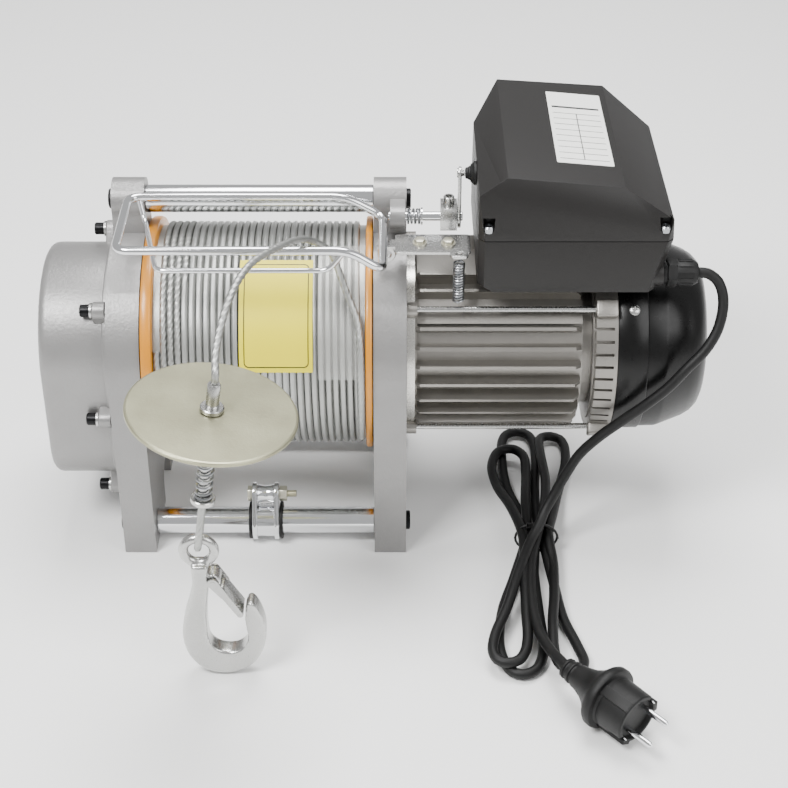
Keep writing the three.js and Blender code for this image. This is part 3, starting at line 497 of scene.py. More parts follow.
def plug():
    body = lathe([
        (0, 0), (0, 7.8), (2.5, 8.2), (3, 6.9), (5.5, 7.1), (6, 8.6), (8.5, 8.9), (9, 7.6), (11.5, 7.8),
        (12, 9.3), (17, 10.1), (24, 12.4), (30, 15.8), (34.5, 19.8), (37.5, 23.4), (39.5, 24.8), (43.5, 25),
        (45.5, 24.2), (46, 20.2), (48, 19.4), (50, 19.9), (71, 19.4), (72, 18.6), (72, 16.4), (68.5, 15.6),
        (68.5, 0),
    ], (0, 0), steps=72)
    ribs = [turned(box(46, 71.5, -4, 4, 18.4, 21.4), a, "X", (0, 0, 0)) for a in (30, 150, 270)]
    body = weld(body, *ribs)
    sides = (90 + PLUG_ROLL, 270 + PLUG_ROLL)
    slots = [turned(box(60, 75, -3.4, 3.4, 15.8, 24), a, "X", (0, 0, 0)) for a in sides]
    body = carve(body, *slots)
    body = on_floor(softened(body, 0.5, 2, 50))
    piece(body, "plug_shell", RUBBER, "frame", "rubber", "plug_body")
    pins = []
    for y in (-9.5, 9.5):
        pin = lathe([(66, 0), (66, 2.4), (91.5, 2.4), (93, 1.2), (93, 0)], (y, 0), steps=24)
        pins.append(turned(pin, PLUG_ROLL, "X", (0, 0, 0)))
    clips = [turned(box(62, 73.5, -2.4, 2.4, 16.4, 17.2), a, "X", (0, 0, 0)) for a in sides]
    contacts = on_floor(joined(*pins, *clips))
    piece(contacts, "plug_contacts", CHROME, "frame", "chrome", "plug_pins")
    return body, contacts


def cable_tie():
    loop = []
    for i in range(25):
        a = 2 * math.pi * i / 24
        loop.append(Vector((133 + 17.5 * math.cos(a), -13 + 0.1 * i, 15.6 + 14.6 * math.sin(a))))
    band = wire(loop, 1.1, 2)
    head = softened(box(124, 131, -18, -12, 27.5, 31.5), 0.6)
    return piece(joined(band, head), "cable_tie", GLOSS_BLACK, "frame", "gloss_black")


camera()
TAIL, TAIL_PATH = rope_tail()
LEAD, LEAD_PATH = mains_lead()
PLUG, PLUG_CONTACTS = plug()
TIE = cable_tie()


# ---- frame ---------------------------------------------------------------------------------------
def arc(cy, cz, r, a0, a1, count):
    """Points of an arc from a0 to a1 degrees."""
    steps = [math.radians(a0 + (a1 - a0) * i / count) for i in range(count + 1)]
    return [(cy + r * math.cos(a), cz + r * math.sin(a)) for a in steps]


def plate_outline():
    left_foot = [(-12, 0), (56.5, 0), (58, 1.5)]
    arch = arc(79, 14, 21, 180, 0, 14)
    right_foot = [(100, 1.5), (101.5, 0), (170, 0)]
    return left_foot + arch + right_foot + arc(79, 160, 91, 0, 180, 60)


def boss_outline():
    """The round eye on top with its neck running down into the plate."""
    return arc(100, 272.5, 17, -20, 200, 30) + [(84.2, 262), (80, 240), (120, 240), (115.8, 262)]


def end_plate(name, x0, x1, outer, body_extra=()):
    plate = prism(plate_outline(), "YZ", x0, x1)
    plate = weld(plate, prism(boss_outline(), "YZ", x0, x1), *body_extra)
    way = 1 if outer < (x0 + x1) / 2 else -1
    for centre in (TOP_ROD, FRONT_ROD, REAR_ROD):
        plate = carve(plate, rod(x0 - 2, x1 + 2, 5.3, centre, 24))
        low, high = sorted((outer - way, outer + way * 6.7))
        plate = carve(plate, rod(low, high, 8.3, centre, 36))
    plate = carve(plate, rod(x0 - 2, x1 + 2, 24, AXIS, 64))
    plate = softened(plate, 1.3, 3, 30)
    return piece(plate, name + "_casting", CAST, "frame", "cast", name)


def socket_screw(name, centre, side):
    outer = -208.5 if side < 0 else 25
    seat = outer - side * 6.4
    face = seat + side * 10
    end = outer - side * 38
    screw = lathe([
        (face - side * 5, 0), (face - side * 5, 4.6), (face - side * 0.4, 4.6), (face, 5), (face, 7.2),
        (face - side * 0.8, 8), (seat, 8), (seat, 5), (end, 5), (end, 0),
    ], centre, steps=36)
    return piece(screw, name + "_head", BLACK_STEEL, "frame", "black_steel", name)


def tie_rods():
    for name, centre in (("top", TOP_ROD), ("front", FRONT_ROD), ("rear", REAR_ROD)):
        bar = lathe([
            (-182.2, 5.4), (-182.2, 10.4), (-181.6, 11), (-1.9, 11), (-1.3, 10.4), (-1.3, 5.4), (-14, 5.4),
            (-14, 0), (-170, 0), (-170, 5.4), (-182.2, 5.4),
        ], centre, steps=48)
        piece(bar, name + "_rod", CHROME, "frame", "chrome", name + "_tie_rod")
    for i, centre in enumerate((TOP_ROD, FRONT_ROD, REAR_ROD)):
        socket_screw(f"tie_rod_screw_{2 * i + 1}", centre, -1)
        socket_screw(f"tie_rod_screw_{2 * i + 2}", centre, 1)


def end_plates():
    end_plate("left_end_plate", -208.5, -182.5, -208.5)
    lug = prism(arc(75, 270, 10, 90, 270, 20) + [(92, 260), (92, 280)], "YZ", 12, 24)
    end_plate("right_end_plate", -1, 25, 25, (lug,))


# ---- gearbox -------------------------------------------------------------------------------------
COVER_SCREWS = [(120, 234), (21.5, 215.6), (0, 127.5), (22, 46), (136, 46), (158, 127.5)]


def cover_outline(inset=0.0):
    r = 74 - inset
    corner = 40 - inset
    floor = 52 + inset
    return (arc(79, 160, r, 0, 180, 44) + arc(79 - r + corner, floor + corner, corner, 180, 270, 14)
            + arc(79 + r - corner, floor + corner, corner, 270, 360, 14))


def link_outline(ay, az, ar, by, bz, br, count=12):
    """Two round ends joined by their outer tangents."""
    along = math.degrees(math.atan2(bz - az, by - ay))
    side = math.degrees(math.acos((ar - br) / math.hypot(by - ay, bz - az)))
    big_end = arc(ay, az, ar, along + side, along - side + 360, count)
    return big_end + arc(by, bz, br, along - side, along + side, count)


def gearbox():
    x1 = -210.3
    shell = prism(cover_outline(), "YZ", x1, -265, round_cap=7)
    ears = []
    for y, z in COVER_SCREWS:
        inward = Vector((79 - y, 140 - z)).normalized() * 18
        outline = link_outline(y, z, 7, y + inward.x, z + inward.y, 9)
        ears.append(prism(outline, "YZ", x1, x1 - 10, round_cap=1.5))
    shell = weld(shell, *ears)
    flange = prism(cover_outline(-1.6), "YZ", x1, x1 - 3.5, round_cap=1.2)
    shell = weld(shell, flange)
    badge = rod(-266, -264.2, 25, (76, 172), 64)
    shell = carve(shell, badge)
    shell = carve(shell, prism(cover_outline(5), "YZ", x1 + 1, -258))
    piece(shell, "gearbox_shell", CAST, "frame", "cast", "gearbox_cover")
    gasket = carve(prism(cover_outline(-1.2), "YZ", -208.8, -210), prism(cover_outline(5), "YZ", -208, -211))
    piece(gasket, "gearbox_gasket", RUBBER, "frame", "rubber", "cover_gasket")
    heads = []
    washers = []
    for y, z in COVER_SCREWS:
        heads.append(lathe([
            (-225, 0), (-225, 2.6), (-229.6, 2.6), (-229.8, 3), (-229.8, 4.4), (-229, 5), (-222, 5),
            (-222, 0),
        ], (y, z), steps=28))
        washers.append(tube_ring(-222, -220.3, 3, 6.2, (y, z), 28))
    piece(joined(*heads), "cover_screws", BLACK_STEEL, "frame", "black_steel")
    piece(joined(*washers), "cover_washers", BRIGHT_ZINC, "frame", "zinc")


# ---- drum ----------------------------------------------------------------------------------------
def drum():
    for name, x0, x1, edge in (("left", -181.5, -172.5, 2.4), ("right", -7.2, -1.8, 1.6)):
        disc = lathe([
            (x0, 24), (x1, 24), (x1, 95 - edge), (x1 - edge * 0.3, 95 - edge * 0.3), (x1 - edge, 95),
            (x0 + edge, 95), (x0 + edge * 0.3, 95 - edge * 0.3), (x0, 95 - edge), (x0, 24),
        ], AXIS, steps=96)
        piece(disc, name + "_flange_disc", ORANGE, "drum", "orange", name + "_drum_flange")
    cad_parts["drum_core"].data.materials.clear()
    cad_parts["drum_core"].data.materials.append(STEEL)


def wound_rope():
    """The rope's outer layer, turn beside turn, over a plain sleeve."""
    turns = 28.6
    per_turn = 132
    path = []
    for i in range(int(turns * per_turn) + 1):
        n = i / per_turn
        a = math.radians(158) + 2 * math.pi * n
        path.append(Vector((-169.3 + 5.55 * n, 79 + 88.2 * math.cos(a), 160 + 88.2 * math.sin(a))))
    rope = twisted_rope(path, 2.78, lay=36.0)
    sleeve = tube_ring(-172.2, -7.5, 62.3, 87.4, AXIS, 96)
    return piece(joined(rope, sleeve), "wound_rope", ROPE, "drum", "rope", "rope_coil", angle=60)


def coil_patch(x0, x1, a0, a1, radius, thick, corner=0.0, count=40):
    """A thin sheet bent round the drum; corner rounds its outline."""
    outline = []
    for cx, ca, sx, sa in ((x1, a1, -1, -1), (x0, a1, 1, -1), (x0, a0, 1, 1), (x1, a0, -1, 1)):
        start = {(-1, -1): 0, (1, -1): 90, (1, 1): 180, (-1, 1): 270}[(sx, sa)]
        for i in range(7):
            t = math.radians(start + 15 * i)
            x = cx + sx * corner + corner * math.cos(t)
            arc_mm = corner * sa + corner * math.sin(t)
            outline.append((x, ca * radius * math.pi / 180 + arc_mm))
    flat = prism(outline, "XY", 0, thick)
    low, high = min(p[1] for p in outline), max(p[1] for p in outline)
    bpy.ops.object.mode_set(mode="EDIT")
    for i in range(1, count):
        y = (low + (high - low) * i / count) * MM
        bpy.ops.mesh.select_all(action="SELECT")
        bpy.ops.mesh.bisect(plane_co=(0, y, 0), plane_no=(0, 1, 0))
    bpy.ops.object.mode_set(mode="OBJECT")
    for v in flat.data.vertices:
        a = v.co.y / (radius * MM)
        r = radius * MM + v.co.z
        v.co = (v.co.x, AXIS[0] * MM + r * math.cos(a), AXIS[1] * MM + r * math.sin(a))
    activate(flat)
    bpy.ops.object.mode_set(mode="EDIT")
    tidy_normals()
    return flat


def rope_labels():
    """A blank yellow rope label with a printed border, and the clear tape beside it."""
    sheet = coil_patch(-105, -48, 110, 168, 91.3, 0.25, 0.6)
    piece(sheet, "rope_label", YELLOW_LABEL, "drum", "orange")
    border = coil_patch(-101.4, -51, 112.6, 165.6, 91.6, 0.08, 4)
    inner = coil_patch(-100.6, -51.8, 113.2, 165, 91.64, 0.12, 3.4)
    piece(border, "rope_label_border", INK, "drum", "black_steel")
    piece(inner, "rope_label_field", YELLOW_LABEL, "drum", "orange")
    tape = coil_patch(-44, -12, 100, 172, 91.3, 0.1, 1)
    piece(tape, "rope_tape", FILM, "drum", "grey_plastic")


# ---- motor ---------------------------------------------------------------------------------------
def fin_outline(root, tip, half):
    points = []
    for k in range(32):
        a = 2 * math.pi * k / 32
        low = k % 8 == 4 or 7 <= k <= 9
        height = root + 0.4 if low else tip
        foot, crown = half * 1.5, half * 0.72
        for turn, r in ((-foot, root), (-crown, height), (crown, height), (foot, root)):
            points.append((79 + r * math.cos(a + turn / r), 160 + r * math.sin(a + turn / r)))
    return points


def bolt_place(degrees):
    a = math.radians(degrees)
    return 79 + 79 * math.cos(a), 160 + 79 * math.sin(a)


def motor():
    housing = prism(fin_outline(68, 79.5, 1.75), "YZ", 30, 164)
    envelope = lathe([(29, 0), (29, 74), (36, 80), (157, 80), (162, 74), (162, 0)], AXIS, steps=96)
    housing = combine(housing, (envelope,), "INTERSECT")
    flange = lathe([(25.3, 0), (25.3, 75), (26.3, 76), (31, 76), (33.3, 74), (33.3, 0)], AXIS, steps=96)
    pad = box(100, 160, 55, 103, 200, 237.7)
    barrel = rod(25.3, 171.9, 68.8, AXIS, 96)
    rim = lathe([
        (163.4, 66), (163.4, 74.6), (164.2, 75.4), (171.2, 75.4), (171.9, 74.8), (171.9, 66), (163.4, 66),
    ], AXIS, steps=96)
    housing = weld(housing, flange, barrel, pad, rim)
    for degrees in BOLT_ANGLES:
        housing = weld(housing, rod(25.3, 33.3, 6.2, bolt_place(degrees), 24))
    housing = carve(housing, rod(33.4, 173, 58, AXIS, 64), rod(20, 40, 8, AXIS, 32))
    housing = softened(housing, 0.45, 2, 40)
    piece(housing, "finned_housing", ALUMINIUM, "frame", "aluminium", "motor_housing")
    strip = tube_ring(25.3, 31.6, 74.8, 76.6, AXIS, 96)
    piece(strip, "motor_flange_rim", BRIGHT_ALU, "frame", "aluminium")

    ring = lathe([
        (172.5, 70), (190.2, 70), (190.2, 79), (189.6, 79), (173.4, 78.2), (172.5, 77), (172.5, 70),
    ], AXIS, steps=96)
    slits = []
    for k in range(48):
        slit = box(171, 187.4, 79 - 1.2, 79 + 1.2, 160 + 73.5, 160 + 82)
        slits.append(turned(slit, 360 / 48 * (k + 0.5), "X", (0, 79, 160)))
    ring = carve(ring, joined(*slits))
    web = tube_ring(171.5, 184, 52, 71, AXIS, 64)
    spigot = tube_ring(162.6, 172.5, 52, 57.7, AXIS, 64)
    for degrees in BOLT_ANGLES:
        y, z = bolt_place(degrees)
        lug = turned(box(172.5, 189.8, y - 7, y + 7, z - 7, z + 7), degrees, "X", (0, y, z))
        ring = weld(ring, softened(lug, 1.5, 3))
    ring = weld(ring, web, spigot)
    piece(ring, "slotted_end_ring", ALUMINIUM, "frame", "aluminium", "motor_end_ring")

    for i, degrees in enumerate(BOLT_ANGLES):
        y, z = bolt_place(degrees)
        stem = lathe([
            (23.2, 0), (23.2, 3.4), (24, 4.4), (27, 4.4), (27, 2.5), (183, 2.5), (183, 0),
        ], (y, z), steps=20)
        piece(stem, f"stay_bolt_{i + 1}", BRIGHT_ZINC, "frame", "steel", f"through_bolt_{i + 1}")

    cover = lathe([
        (190.6, 76.6), (190.6, 78.6), (191.2, 79), (213.6, 79), (214.2, 78.6), (214.6, 77.6), (228, 77.3),
        (230.5, 76.6), (250, 69), (256.4, 65.2), (261, 60.4), (263.6, 54.6), (264.8, 48), (265, 42),
        (265, 0), (262.6, 0), (262.6, 42), (261.4, 52), (257.6, 60.6), (249, 66.6), (228.6, 74.6),
        (190.6, 76.6),
    ], AXIS, steps=128)
    piece(cover, "fan_cowl", GLOSS_BLACK, "frame", "gloss_black", "fan_cover", angle=50)
    y, z = 79 + 79 * math.cos(math.radians(135.5)), 160 + 79 * math.sin(math.radians(135.5))
    screw = lathe([(-1, 0), (-1, 4.4), (0.9, 4.2), (1.9, 2.8), (2.2, 0)], (0, 0), "Z", 28)
    screw = carve(screw, box(-2.6, 2.6, -0.5, 0.5, 1.2, 4), box(-0.5, 0.5, -2.6, 2.6, 1.2, 4))
    screw = turned(screw, 45.5, "X", (0, 0, 0))
    screw = moved(screw, Matrix.Translation(Vector((203, y, z)) * MM))
    piece(screw, "cowl_screw", BRIGHT_ZINC, "frame", "zinc")


# ---- control box ---------------------------------------------------------------------------------
def box_plan(inset, z, squeeze=0.0, x_low=None):
    x0, x1, y0, y1 = 79 + inset, 227 - inset, 14 + inset, 212 - inset
    plan = [
        (x0 + 5, y0), (x1 - 5 - squeeze, y0), (x1 - squeeze, y0 + 5), (x1 - squeeze, y1 - 32),
        (x1 - 32 - squeeze, y1), (x0 + 19, y1), (x0, y1 - 62), (x0, y0 + 5),
    ]
    return [(max(x, x_low) if x_low else x, y, z) for x, y in plan]


def control_box():
    base = hull(box_plan(0, 237, 11.8, 91) + box_plan(0, 242, 10.5) + box_plan(0, 281.1))
    inside = hull(box_plan(3, 246, 8) + box_plan(3, 283))
    base = weld(base, rod(200, 222, 10.4, GLAND, 40))
    base = carve(base, inside, rod(78, 228, 82, AXIS, 96), rod(190, 224, 6, GLAND, 24))
    base = softened(base, 1.1, 3, 30)
    piece(base, "box_lower", CHARCOAL, "frame", "charcoal", "box_base")

    ridge = [
        (100, 22, 331), (188, 22, 323), (188, 203, 323), (100, 198, 331), (79, 19, 317), (79, 146, 317),
        (226, 18, 298), (226, 178, 298),
    ]
    lid = hull(box_plan(0, 281.7) + ridge)
    under = [(103, 25, 328), (185, 25, 320), (185, 200, 320), (103, 195, 328), (82, 22, 317), (82, 143, 317),
             (223, 21, 298), (223, 175, 298)]
    lid = carve(lid, hull(box_plan(3, 281) + under))
    lid = softened(lid, 1.4, 3, 25)
    for centre in LID_SCREWS:
        post = rod(282.5, 330, 8.5, centre, 32, "Z")
        lid = weld(lid, combine(post, (hull(box_plan(0.4, 281.9) + ridge),), "INTERSECT"))
    pockets = [rod(289.5, 300, 5, centre, 32, "Z") for centre in LID_SCREWS]
    lid = carve(lid, *pockets)
    piece(lid, "box_upper", CHARCOAL, "frame", "charcoal", "box_lid")
    screws = []
    for x, y in LID_SCREWS:
        head = lathe([(288, 0), (288, 4.2), (291.8, 4.2), (293, 3.2), (293.4, 0)], (x, y), "Z", 28)
        across = box(x - 2.6, x + 2.6, y - 0.5, y + 0.5, 292.2, 295)
        along = box(x - 0.5, x + 0.5, y - 2.6, y + 2.6, 292.2, 295)
        screws.append(carve(head, across, along))
    piece(joined(*screws), "lid_screws", STEEL, "frame", "steel")
    inside = hull(box_plan(2.4, 280) + box_plan(2.4, 283))
    seam = carve(hull(box_plan(0.6, 280.9) + box_plan(0.6, 281.9)), inside)
    piece(seam, "box_seal", RUBBER, "frame", "rubber")


def rating_plate():
    """A blank rating plate with ruled lines on the lid's top."""
    slope = math.degrees(math.atan2(8, 88))

    def on_lid(obj):
        return turned(obj, slope, "Y", (144, 0, 327))

    z = 327.05
    sheet = on_lid(prism(rounded_rectangle(139, 183, 55, 181, 1), "XY", z, z + 0.3))
    piece(sheet, "rating_plate", WHITE_LABEL, "frame", "grey_plastic")
    rules = [box(142, 180, y, y + 0.7, z + 0.25, z + 0.38) for y in range(62, 150, 10)]
    rules += [box(160.6, 161.3, 62, 142.7, z + 0.25, z + 0.38), box(142, 180, 152, 155, z + 0.25, z + 0.38)]
    piece(on_lid(joined(*rules)), "rating_plate_rules", INK, "frame", "black_steel")


def rounded_rectangle(x0, x1, y0, y1, r):
    return (arc(x1 - r, y1 - r, r, 0, 90, 5) + arc(x0 + r, y1 - r, r, 90, 180, 5)
            + arc(x0 + r, y0 + r, r, 180, 270, 5) + arc(x1 - r, y0 + r, r, 270, 360, 5))


def gland_and_boot():
    nut = prism(arc(*GLAND, 11.6, 0, 300, 5), "YZ", 225.5, 232.5)
    round_nut = lathe([
        (225.5, 0), (225.5, 10.7), (226.4, 11.6), (231.6, 11.6), (232.5, 10.7), (232.5, 0),
    ], GLAND, steps=48)
    nut = combine(nut, (round_nut,), "INTERSECT")
    body = lathe([
        (222.4, 0), (222.4, 8.5), (226, 8.5), (226, 7), (232, 7), (232, 10), (245.5, 10), (249, 8),
        (250, 5.4), (250, 0),
    ], GLAND, steps=48)
    ribs = []
    for k in range(12):
        rib = box(234, 245, GLAND[0] - 0.7, GLAND[0] + 0.7, GLAND[1] + 9.4, GLAND[1] + 10.6)
        ribs.append(turned(rib, 30 * k, "X", (0, *GLAND)))
    gland = carve(weld(joined(body, nut), *ribs), rod(221, 252, 4.5, GLAND, 32))
    piece(softened(gland, 0.3, 2, 40), "gland_nut", RUBBER, "frame", "rubber", "cable_gland")
    boot = lathe([
        (70.2, 0), (70.2, 3.6), (71, 4.4), (72.4, 4.6), (73, 5.4), (74, 5.6), (74.6, 7.2), (76, 8),
        (77, 9.2), (78.7, 9.5), (78.7, 0),
    ], (75, 308), steps=40)
    piece(boot, "toggle_boot", RUBBER, "frame", "rubber", "switch_boot")


# ---- overtravel linkage --------------------------------------------------------------------------
def bail():
    left, front, rear, z = -192.5, -9.5, 75, 287
    loop = bent_path([
        (left, 40, z), (left, front, z), (-19, front, z), (6.8, front, 270), (6.8, rear, 270),
        (-23, rear, z), (left, rear, z), (left, 40, z),
    ], 11)
    guard = bent_path([(-184, rear - 1, z - 2), (-180, rear - 8, 270), (-163, front, 270), (-34, front, 270),
                       (-22, front, z - 1)], 8)
    obj = joined(wire(loop[:-1], 3.4, 4, cyclic=True), wire(guard, 2, 3))
    piece(obj, "bail_wire", CHROME, "bail", "chrome", "limit_bail", angle=60)


def bail_fittings():
    y, z = BAIL_SHAFT
    shaft = lathe([
        (10.6, 0), (10.6, 3.2), (11.2, 3.7), (36.3, 3.7), (36.3, 7), (37.6, 7), (37.6, 3.7), (68.4, 3.7),
        (69, 3.2), (69, 0),
    ], (y, z), steps=40)
    piece(shaft, "pivot_shaft", CHROME, "bail", "chrome", "bail_shaft")
    spring = wire(coil_path(5.6, 8.8, 5), 0.8, 2)
    lying = Matrix.Rotation(math.pi / 2, 4, "Y")
    spring = moved(spring, Matrix.Translation(Vector((26.3, y, z)) * MM) @ lying)
    piece(spring, "pivot_spring", STEEL, "bail", "steel", "bail_shaft_spring")

    clamp = box(51.5, 64.5, y - 9, y + 9, z - 8, z + 11)
    clamp = carve(clamp, rod(50, 66, 3.9, (y, z), 32), box(50, 66, y - 0.7, y + 0.7, z + 2, z + 14))
    clamp = softened(clamp, 1.2, 3)
    clamp_screw = lathe([
        (z + 10, 0), (z + 10, 4.3), (z + 17.4, 4.3), (z + 18, 3.8), (z + 18, 2.4), (z + 14, 2.4),
        (z + 14, 0),
    ], (58, y), "Z", 32)
    clamp = weld(clamp, clamp_screw)
    piece(clamp, "shaft_clamp", BRIGHT_ZINC, "bail", "zinc", "lever_clamp")
    arm = prism(link_outline(y, z, 9, y, 308, 5), "YZ", 65, 67.5)
    arm = carve(arm, rod(64, 69, 3.9, (y, z), 24))
    arm = softened(arm, 0.5)
    rivet = lathe([(64, 0), (64, 3.6), (65, 3.6), (67.5, 2.6), (69.8, 2.2), (69.8, 0)], (y, 308), steps=24)
    arm = joined(arm, rivet)
    piece(arm, "switch_lever", BRIGHT_ZINC, "bail", "zinc", "crank_lever")

    plate = prism(rounded_rectangle(16, 74, 25, 53, 2.5), "XY", 264, 266)
    tongue = box(2, 17, 33, 45, 264, 266)
    plate = weld(plate, tongue, prism(rounded_rectangle(58, 72, 18, 28, 4), "XY", 264, 266))
    plate = carve(plate, rod(262, 268, 2.2, (65, 23), 20, "Z"))
    plate = softened(plate, 0.5)
    eye = lathe([(36, 4), (42, 4), (42, 6.4), (41.4, 7), (36.6, 7), (36, 6.4), (36, 4)], (0, 0), "Z", 40)
    eye = moved(eye, Matrix.Translation(Vector((9.5, 0, 257.6)) * MM) @ Matrix.Rotation(-math.pi / 2, 4, "X"))
    plate = joined(plate, eye)
    piece(plate, "spring_bracket", BRIGHT_ZINC, "bail", "zinc", "limit_bracket")
    bolts = []
    for x, by in ((35, 40), (57, 39)):
        head = prism(arc(x, by, 4.6, 0, 300, 5), "XY", 266, 269.4)
        bolts.append(softened(head, 0.4))
        bolts.append(rod(266, 266.8, 5.6, (x, by), 28, "Z"))
    piece(joined(*bolts), "bracket_bolts", ZINC, "bail", "zinc")

    by, bz = bolt_place(135)
    spring = wire(coil_path(3.9, 33, 15, closed_ends=0.5), 0.8, 2)
    spring = moved(spring, Matrix.Translation(Vector((65, by, 224.5)) * MM))
    top = smooth_path([(68.9, by, 257.5), (67.5, by - 1, 259.6), (65, by, 261.4), (64.4, by, 262.6)], 0.8)
    low_end = [(68.9, by, 224.5), (66.5, by + 1, 222.6), (65, by + 2, 221.4), (64.6, by + 2, 220.4)]
    bottom = smooth_path(low_end, 0.8)
    spring = joined(spring, wire(top, 0.8, 2), wire(bottom, 0.8, 2))
    piece(spring, "return_spring", STEEL, "frame", "steel", "bail_return_spring")


# ---- hook line -----------------------------------------------------------------------------------
def on_hook_line(obj):
    return moved(obj, Matrix.Translation(HOOK_LINE * MM) @ Matrix.Rotation(HOOK_TILT, 4, "Y"))


def hook_line():
    tube = lathe([
        (-78, 0), (-78, 3.9), (4.3, 3.9), (4.3, 7.6), (4.8, 8.5), (7.4, 8.5), (8, 7.8), (8, 5), (9.2, 5),
        (9.6, 4.7), (26, 4.7), (27, 4), (27, 0),
    ], (0, 0), "Z", 40)
    piece(on_hook_line(tube), "ferrule_tube", BRIGHT_ZINC, "frame", "zinc", "rope_ferrule")
    disc = lathe([
        (0, 4.3), (4, 4.3), (4, 58.6), (3.6, 59.8), (2.9, 60.4), (1.2, 60.5), (0.4, 59.8), (0, 58.6),
        (0, 4.3),
    ], (0, 0), "Z", 128)
    piece(on_hook_line(disc), "stop_disc", DISC_ZINC, "disc", "zinc", "limit_disc", angle=12)
    spring = wire(coil_path(5.6, 69.2, 14), 0.9, 2)
    spring = on_hook_line(moved(spring, Matrix.Translation((0, 0, -70.6 * MM))))
    piece(spring, "buffer_coil", STEEL, "frame", "steel", "buffer_spring")
    seat = lathe([
        (-76, 4.2), (-72, 4.2), (-72, 8.4), (-72.6, 9), (-75.4, 9), (-76, 8.4), (-76, 4.2),
    ], (0, 0), "Z", 40)
    piece(on_hook_line(seat), "buffer_washer", BRIGHT_ZINC, "frame", "zinc", "spring_seat")
    side = [(0, 3.2, -78.6), (0, 4.4, -88), (0, 7.4, -103)]
    low = -117.3
    loop = side + [(0, 7.5, -110), (0, 5.4, low + 2), (0, 0, low), (0, -5.4, low + 2), (0, -7.5, -110)]
    loop += [(0, -y, z) for _, y, z in reversed(side)]
    eye = on_hook_line(twisted_rope(smooth_path(loop, 1.6), 2.75))
    piece(eye, "eye_strands", ROPE, "frame", "rope", "rope_eye", angle=60)


HOOK_OUTER = [
    (32.6, 68), (35.5, 73), (39.5, 70), (45, 56), (46.5, 40), (43.5, 24), (35, 10), (23, 3), (12, 1.2),
    (-1, 5), (-12, 18), (-16.5, 36), (-14.5, 55), (-9, 75), (-6, 92), (-6.5, 107),
]
HOOK_INNER = [(6.5, 107), (6.2, 96), (5.5, 84), (3.6, 68), (2.6, 50), (2.9, 38)]


def hook():
    outer = smooth_path([(x, z, 0) for x, z in [(31, 55)] + HOOK_OUTER], 3.0)
    inner = smooth_path([(x, z, 0) for x, z in HOOK_INNER], 4.0)
    bowl = arc(17.9, 38, 15, 180, 354, 18)
    outline = [(p.x, p.y) for p in outer] + [(p.x, p.y) for p in inner] + bowl[1:]
    body = prism(outline, "XZ", -7.5, 7.5)
    bpy.ops.mesh.primitive_torus_add(
        location=(0, 0, 117.4 * MM), rotation=(math.pi / 2, 0, 0), major_segments=64, minor_segments=24,
        major_radius=11.3 * MM, minor_radius=3.8 * MM,
    )
    ring = bpy.context.object
    bpy.ops.object.transform_apply(location=True, rotation=True, scale=True)
    boss = prism(arc(9, 93, 5.5, 0, 345, 23), "XZ", -6.5, 6.5)
    body = forged(weld(forged(body, 0.8, 45), ring, boss), 0.75, 12)
    body = carve(body, prism(arc(9.5, 93, 2.3, 0, 340, 17), "XZ", -10, 10))
    body = moved(body, Matrix.Translation((HOOK_X * MM, HOOK_LINE.y * MM, 0)))
    piece(body, "forged_hook", BRIGHT_ZINC, "load_hook", "zinc", "hook", angle=50)

    cheek = link_outline(9.5, 93, 4, 17, 81.6, 3)
    tongue = prism(link_outline(15.4, 84, 2.6, 28.2, 62.5, 2.4), "XZ", -9.3, 9.3)
    tongue = carve(tongue, prism(link_outline(12.8, 82.5, 3.6, 25.6, 61, 3.3), "XZ", -7.9, 7.9))
    latch = joined(
        prism(cheek, "XZ", -9.6, -8.1), prism(cheek, "XZ", 8.1, 9.6), softened(tongue, 0.4),
        prism(arc(9.5, 93, 2, 0, 337.5, 15), "XZ", -9.8, 9.8),
    )
    latch = moved(latch, Matrix.Translation((HOOK_X * MM, HOOK_LINE.y * MM, 0)))
    piece(latch, "safety_latch", BRIGHT_ZINC, "latch", "zinc", "hook_latch")


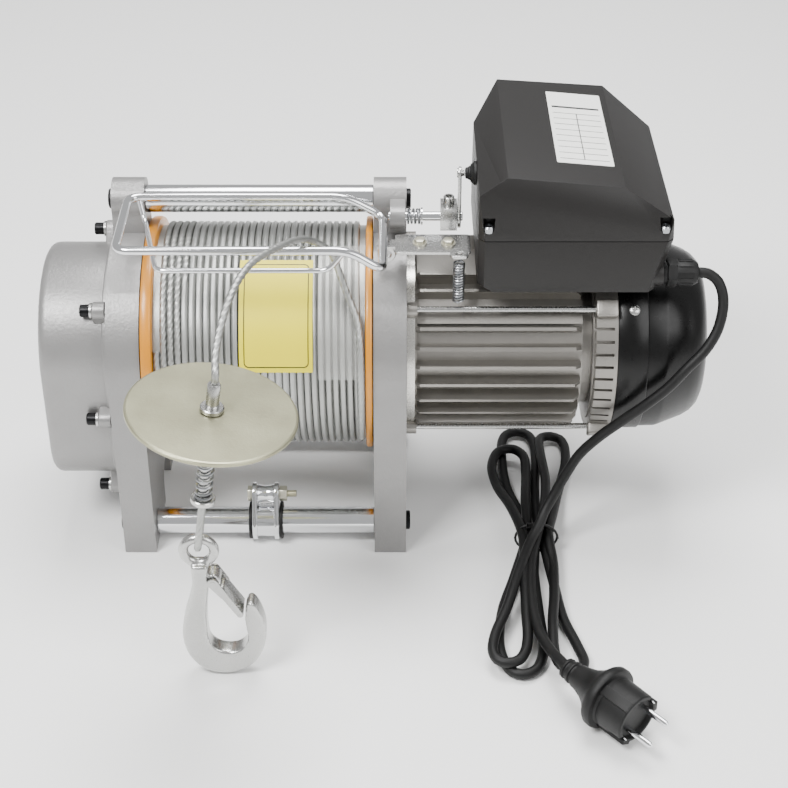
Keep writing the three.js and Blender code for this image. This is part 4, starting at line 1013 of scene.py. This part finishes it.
# ---- rope anchor ---------------------------------------------------------------------------------
def anchor():
    cheek = link_outline(FRONT_ROD[0], FRONT_ROD[1], 16.4, ANCHOR_BOLT[0], ANCHOR_BOLT[1], 9.5, 20)
    plates = []
    for x0, x1 in ((ANCHOR_X - 11, ANCHOR_X - 7), (ANCHOR_X + 7, ANCHOR_X + 11)):
        plate = carve(prism(cheek, "YZ", x0, x1), rod(x0 - 1, x1 + 1, 11.4, FRONT_ROD, 48))
        plates.append(softened(carve(plate, rod(x0 - 1, x1 + 1, 3.3, ANCHOR_BOLT, 24)), 0.7, 3))
    collar = tube_ring(ANCHOR_X - 7.1, ANCHOR_X + 7.1, 11.4, 14, FRONT_ROD, 48)
    piece(joined(*plates, collar), "anchor_cheeks", CHROME, "anchor", "chrome", "anchor_clamp")
    groove = [
        (-6.6, 3.5), (6.6, 3.5), (6.6, 7.7), (6, 8), (3, 7), (0, 6.6), (-3, 7), (-6, 8), (-6.6, 7.7),
        (-6.6, 3.5),
    ]
    roller = lathe([(ANCHOR_X + x, r) for x, r in groove], ANCHOR_BOLT, steps=48)
    piece(roller, "anchor_sheave", CHROME, "roller", "chrome", "anchor_roller")
    y, z = ANCHOR_BOLT
    hexagon = arc(y, z, 6.6, 0, 300, 5)
    head = softened(prism(hexagon, "YZ", -106.6, -102.8), 0.5)
    nut = softened(prism(hexagon, "YZ", -80.2, -74), 0.5)
    thread = [(-66, 0), (-66, 2.4)]
    for i in range(13):
        thread += [(-66.5 - i * 0.6, 3), (-66.8 - i * 0.6, 2.6)]
    stem = lathe(thread + [(-74.4, 3), (-104, 3), (-104, 0)], (y, z), steps=28)
    piece(joined(head, nut, stem), "anchor_stud", ZINC, "anchor", "zinc", "anchor_bolt")
    rings = [tube_ring(x, x + 2.6, 11.2, 15.6, FRONT_ROD, 48) for x in (ANCHOR_X - 14, ANCHOR_X + 11.4)]
    piece(joined(*[softened(r, 0.6, 3) for r in rings]), "anchor_rings", RUBBER, "anchor", "rubber")


# ---- pieces that keep their CAD shape --------------------------------------------------------------
def inner_finishes():
    finishes = {
        STEEL: ("drum_core", "drum_gear", "layshaft", "layshaft_gear", "motor_shaft", "rotor"),
        COPPER: ("stator",),
        GREY_PLASTIC: ("cooling_fan", "limit_switch", "contactor", "run_capacitor"),
    }
    for mat, names in finishes.items():
        for name in names:
            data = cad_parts[name].data
            data.materials.clear()
            data.materials.append(mat)


# ---- floor and light -------------------------------------------------------------------------------
def studio():
    bpy.ops.object.select_all(action="DESELECT")
    bpy.ops.mesh.primitive_plane_add(size=9, location=(0, 0, -0.0004))
    floor = bpy.context.object
    floor.name = "studio_floor"
    floor.data.materials.append(material("studio_floor", srgb(246, 246, 245), 0.6, grain=0.0, spread=0.0))
    world = bpy.context.scene.world or bpy.data.worlds.new("studio")
    bpy.context.scene.world = world
    world.use_nodes = True
    background = world.node_tree.nodes["Background"]
    background.inputs[0].default_value = (1, 1, 1, 1)
    background.inputs[1].default_value = 0.6
    for name, place, size, power in (
        ("key_light", (-0.9, -0.9, 1.9), 0.7, 62), ("fill_light", (1.3, -1.0, 1.3), 1.2, 20),
        ("top_light", (0.1, 0.6, 2.0), 1.0, 52),
    ):
        bpy.ops.object.light_add(type="AREA", location=place)
        light = bpy.context.object
        light.name = name
        light.data.size = size
        light.data.energy = power
        aim = Vector((0, 0, 0.15)) - Vector(place)
        light.rotation_euler = aim.to_track_quat("-Z", "Y").to_euler()


end_plates()
tie_rods()
gearbox()
drum()
wound_rope()
rope_labels()
motor()
control_box()
rating_plate()
gland_and_boot()
bail()
bail_fittings()
hook_line()
hook()
anchor()
inner_finishes()
studio()
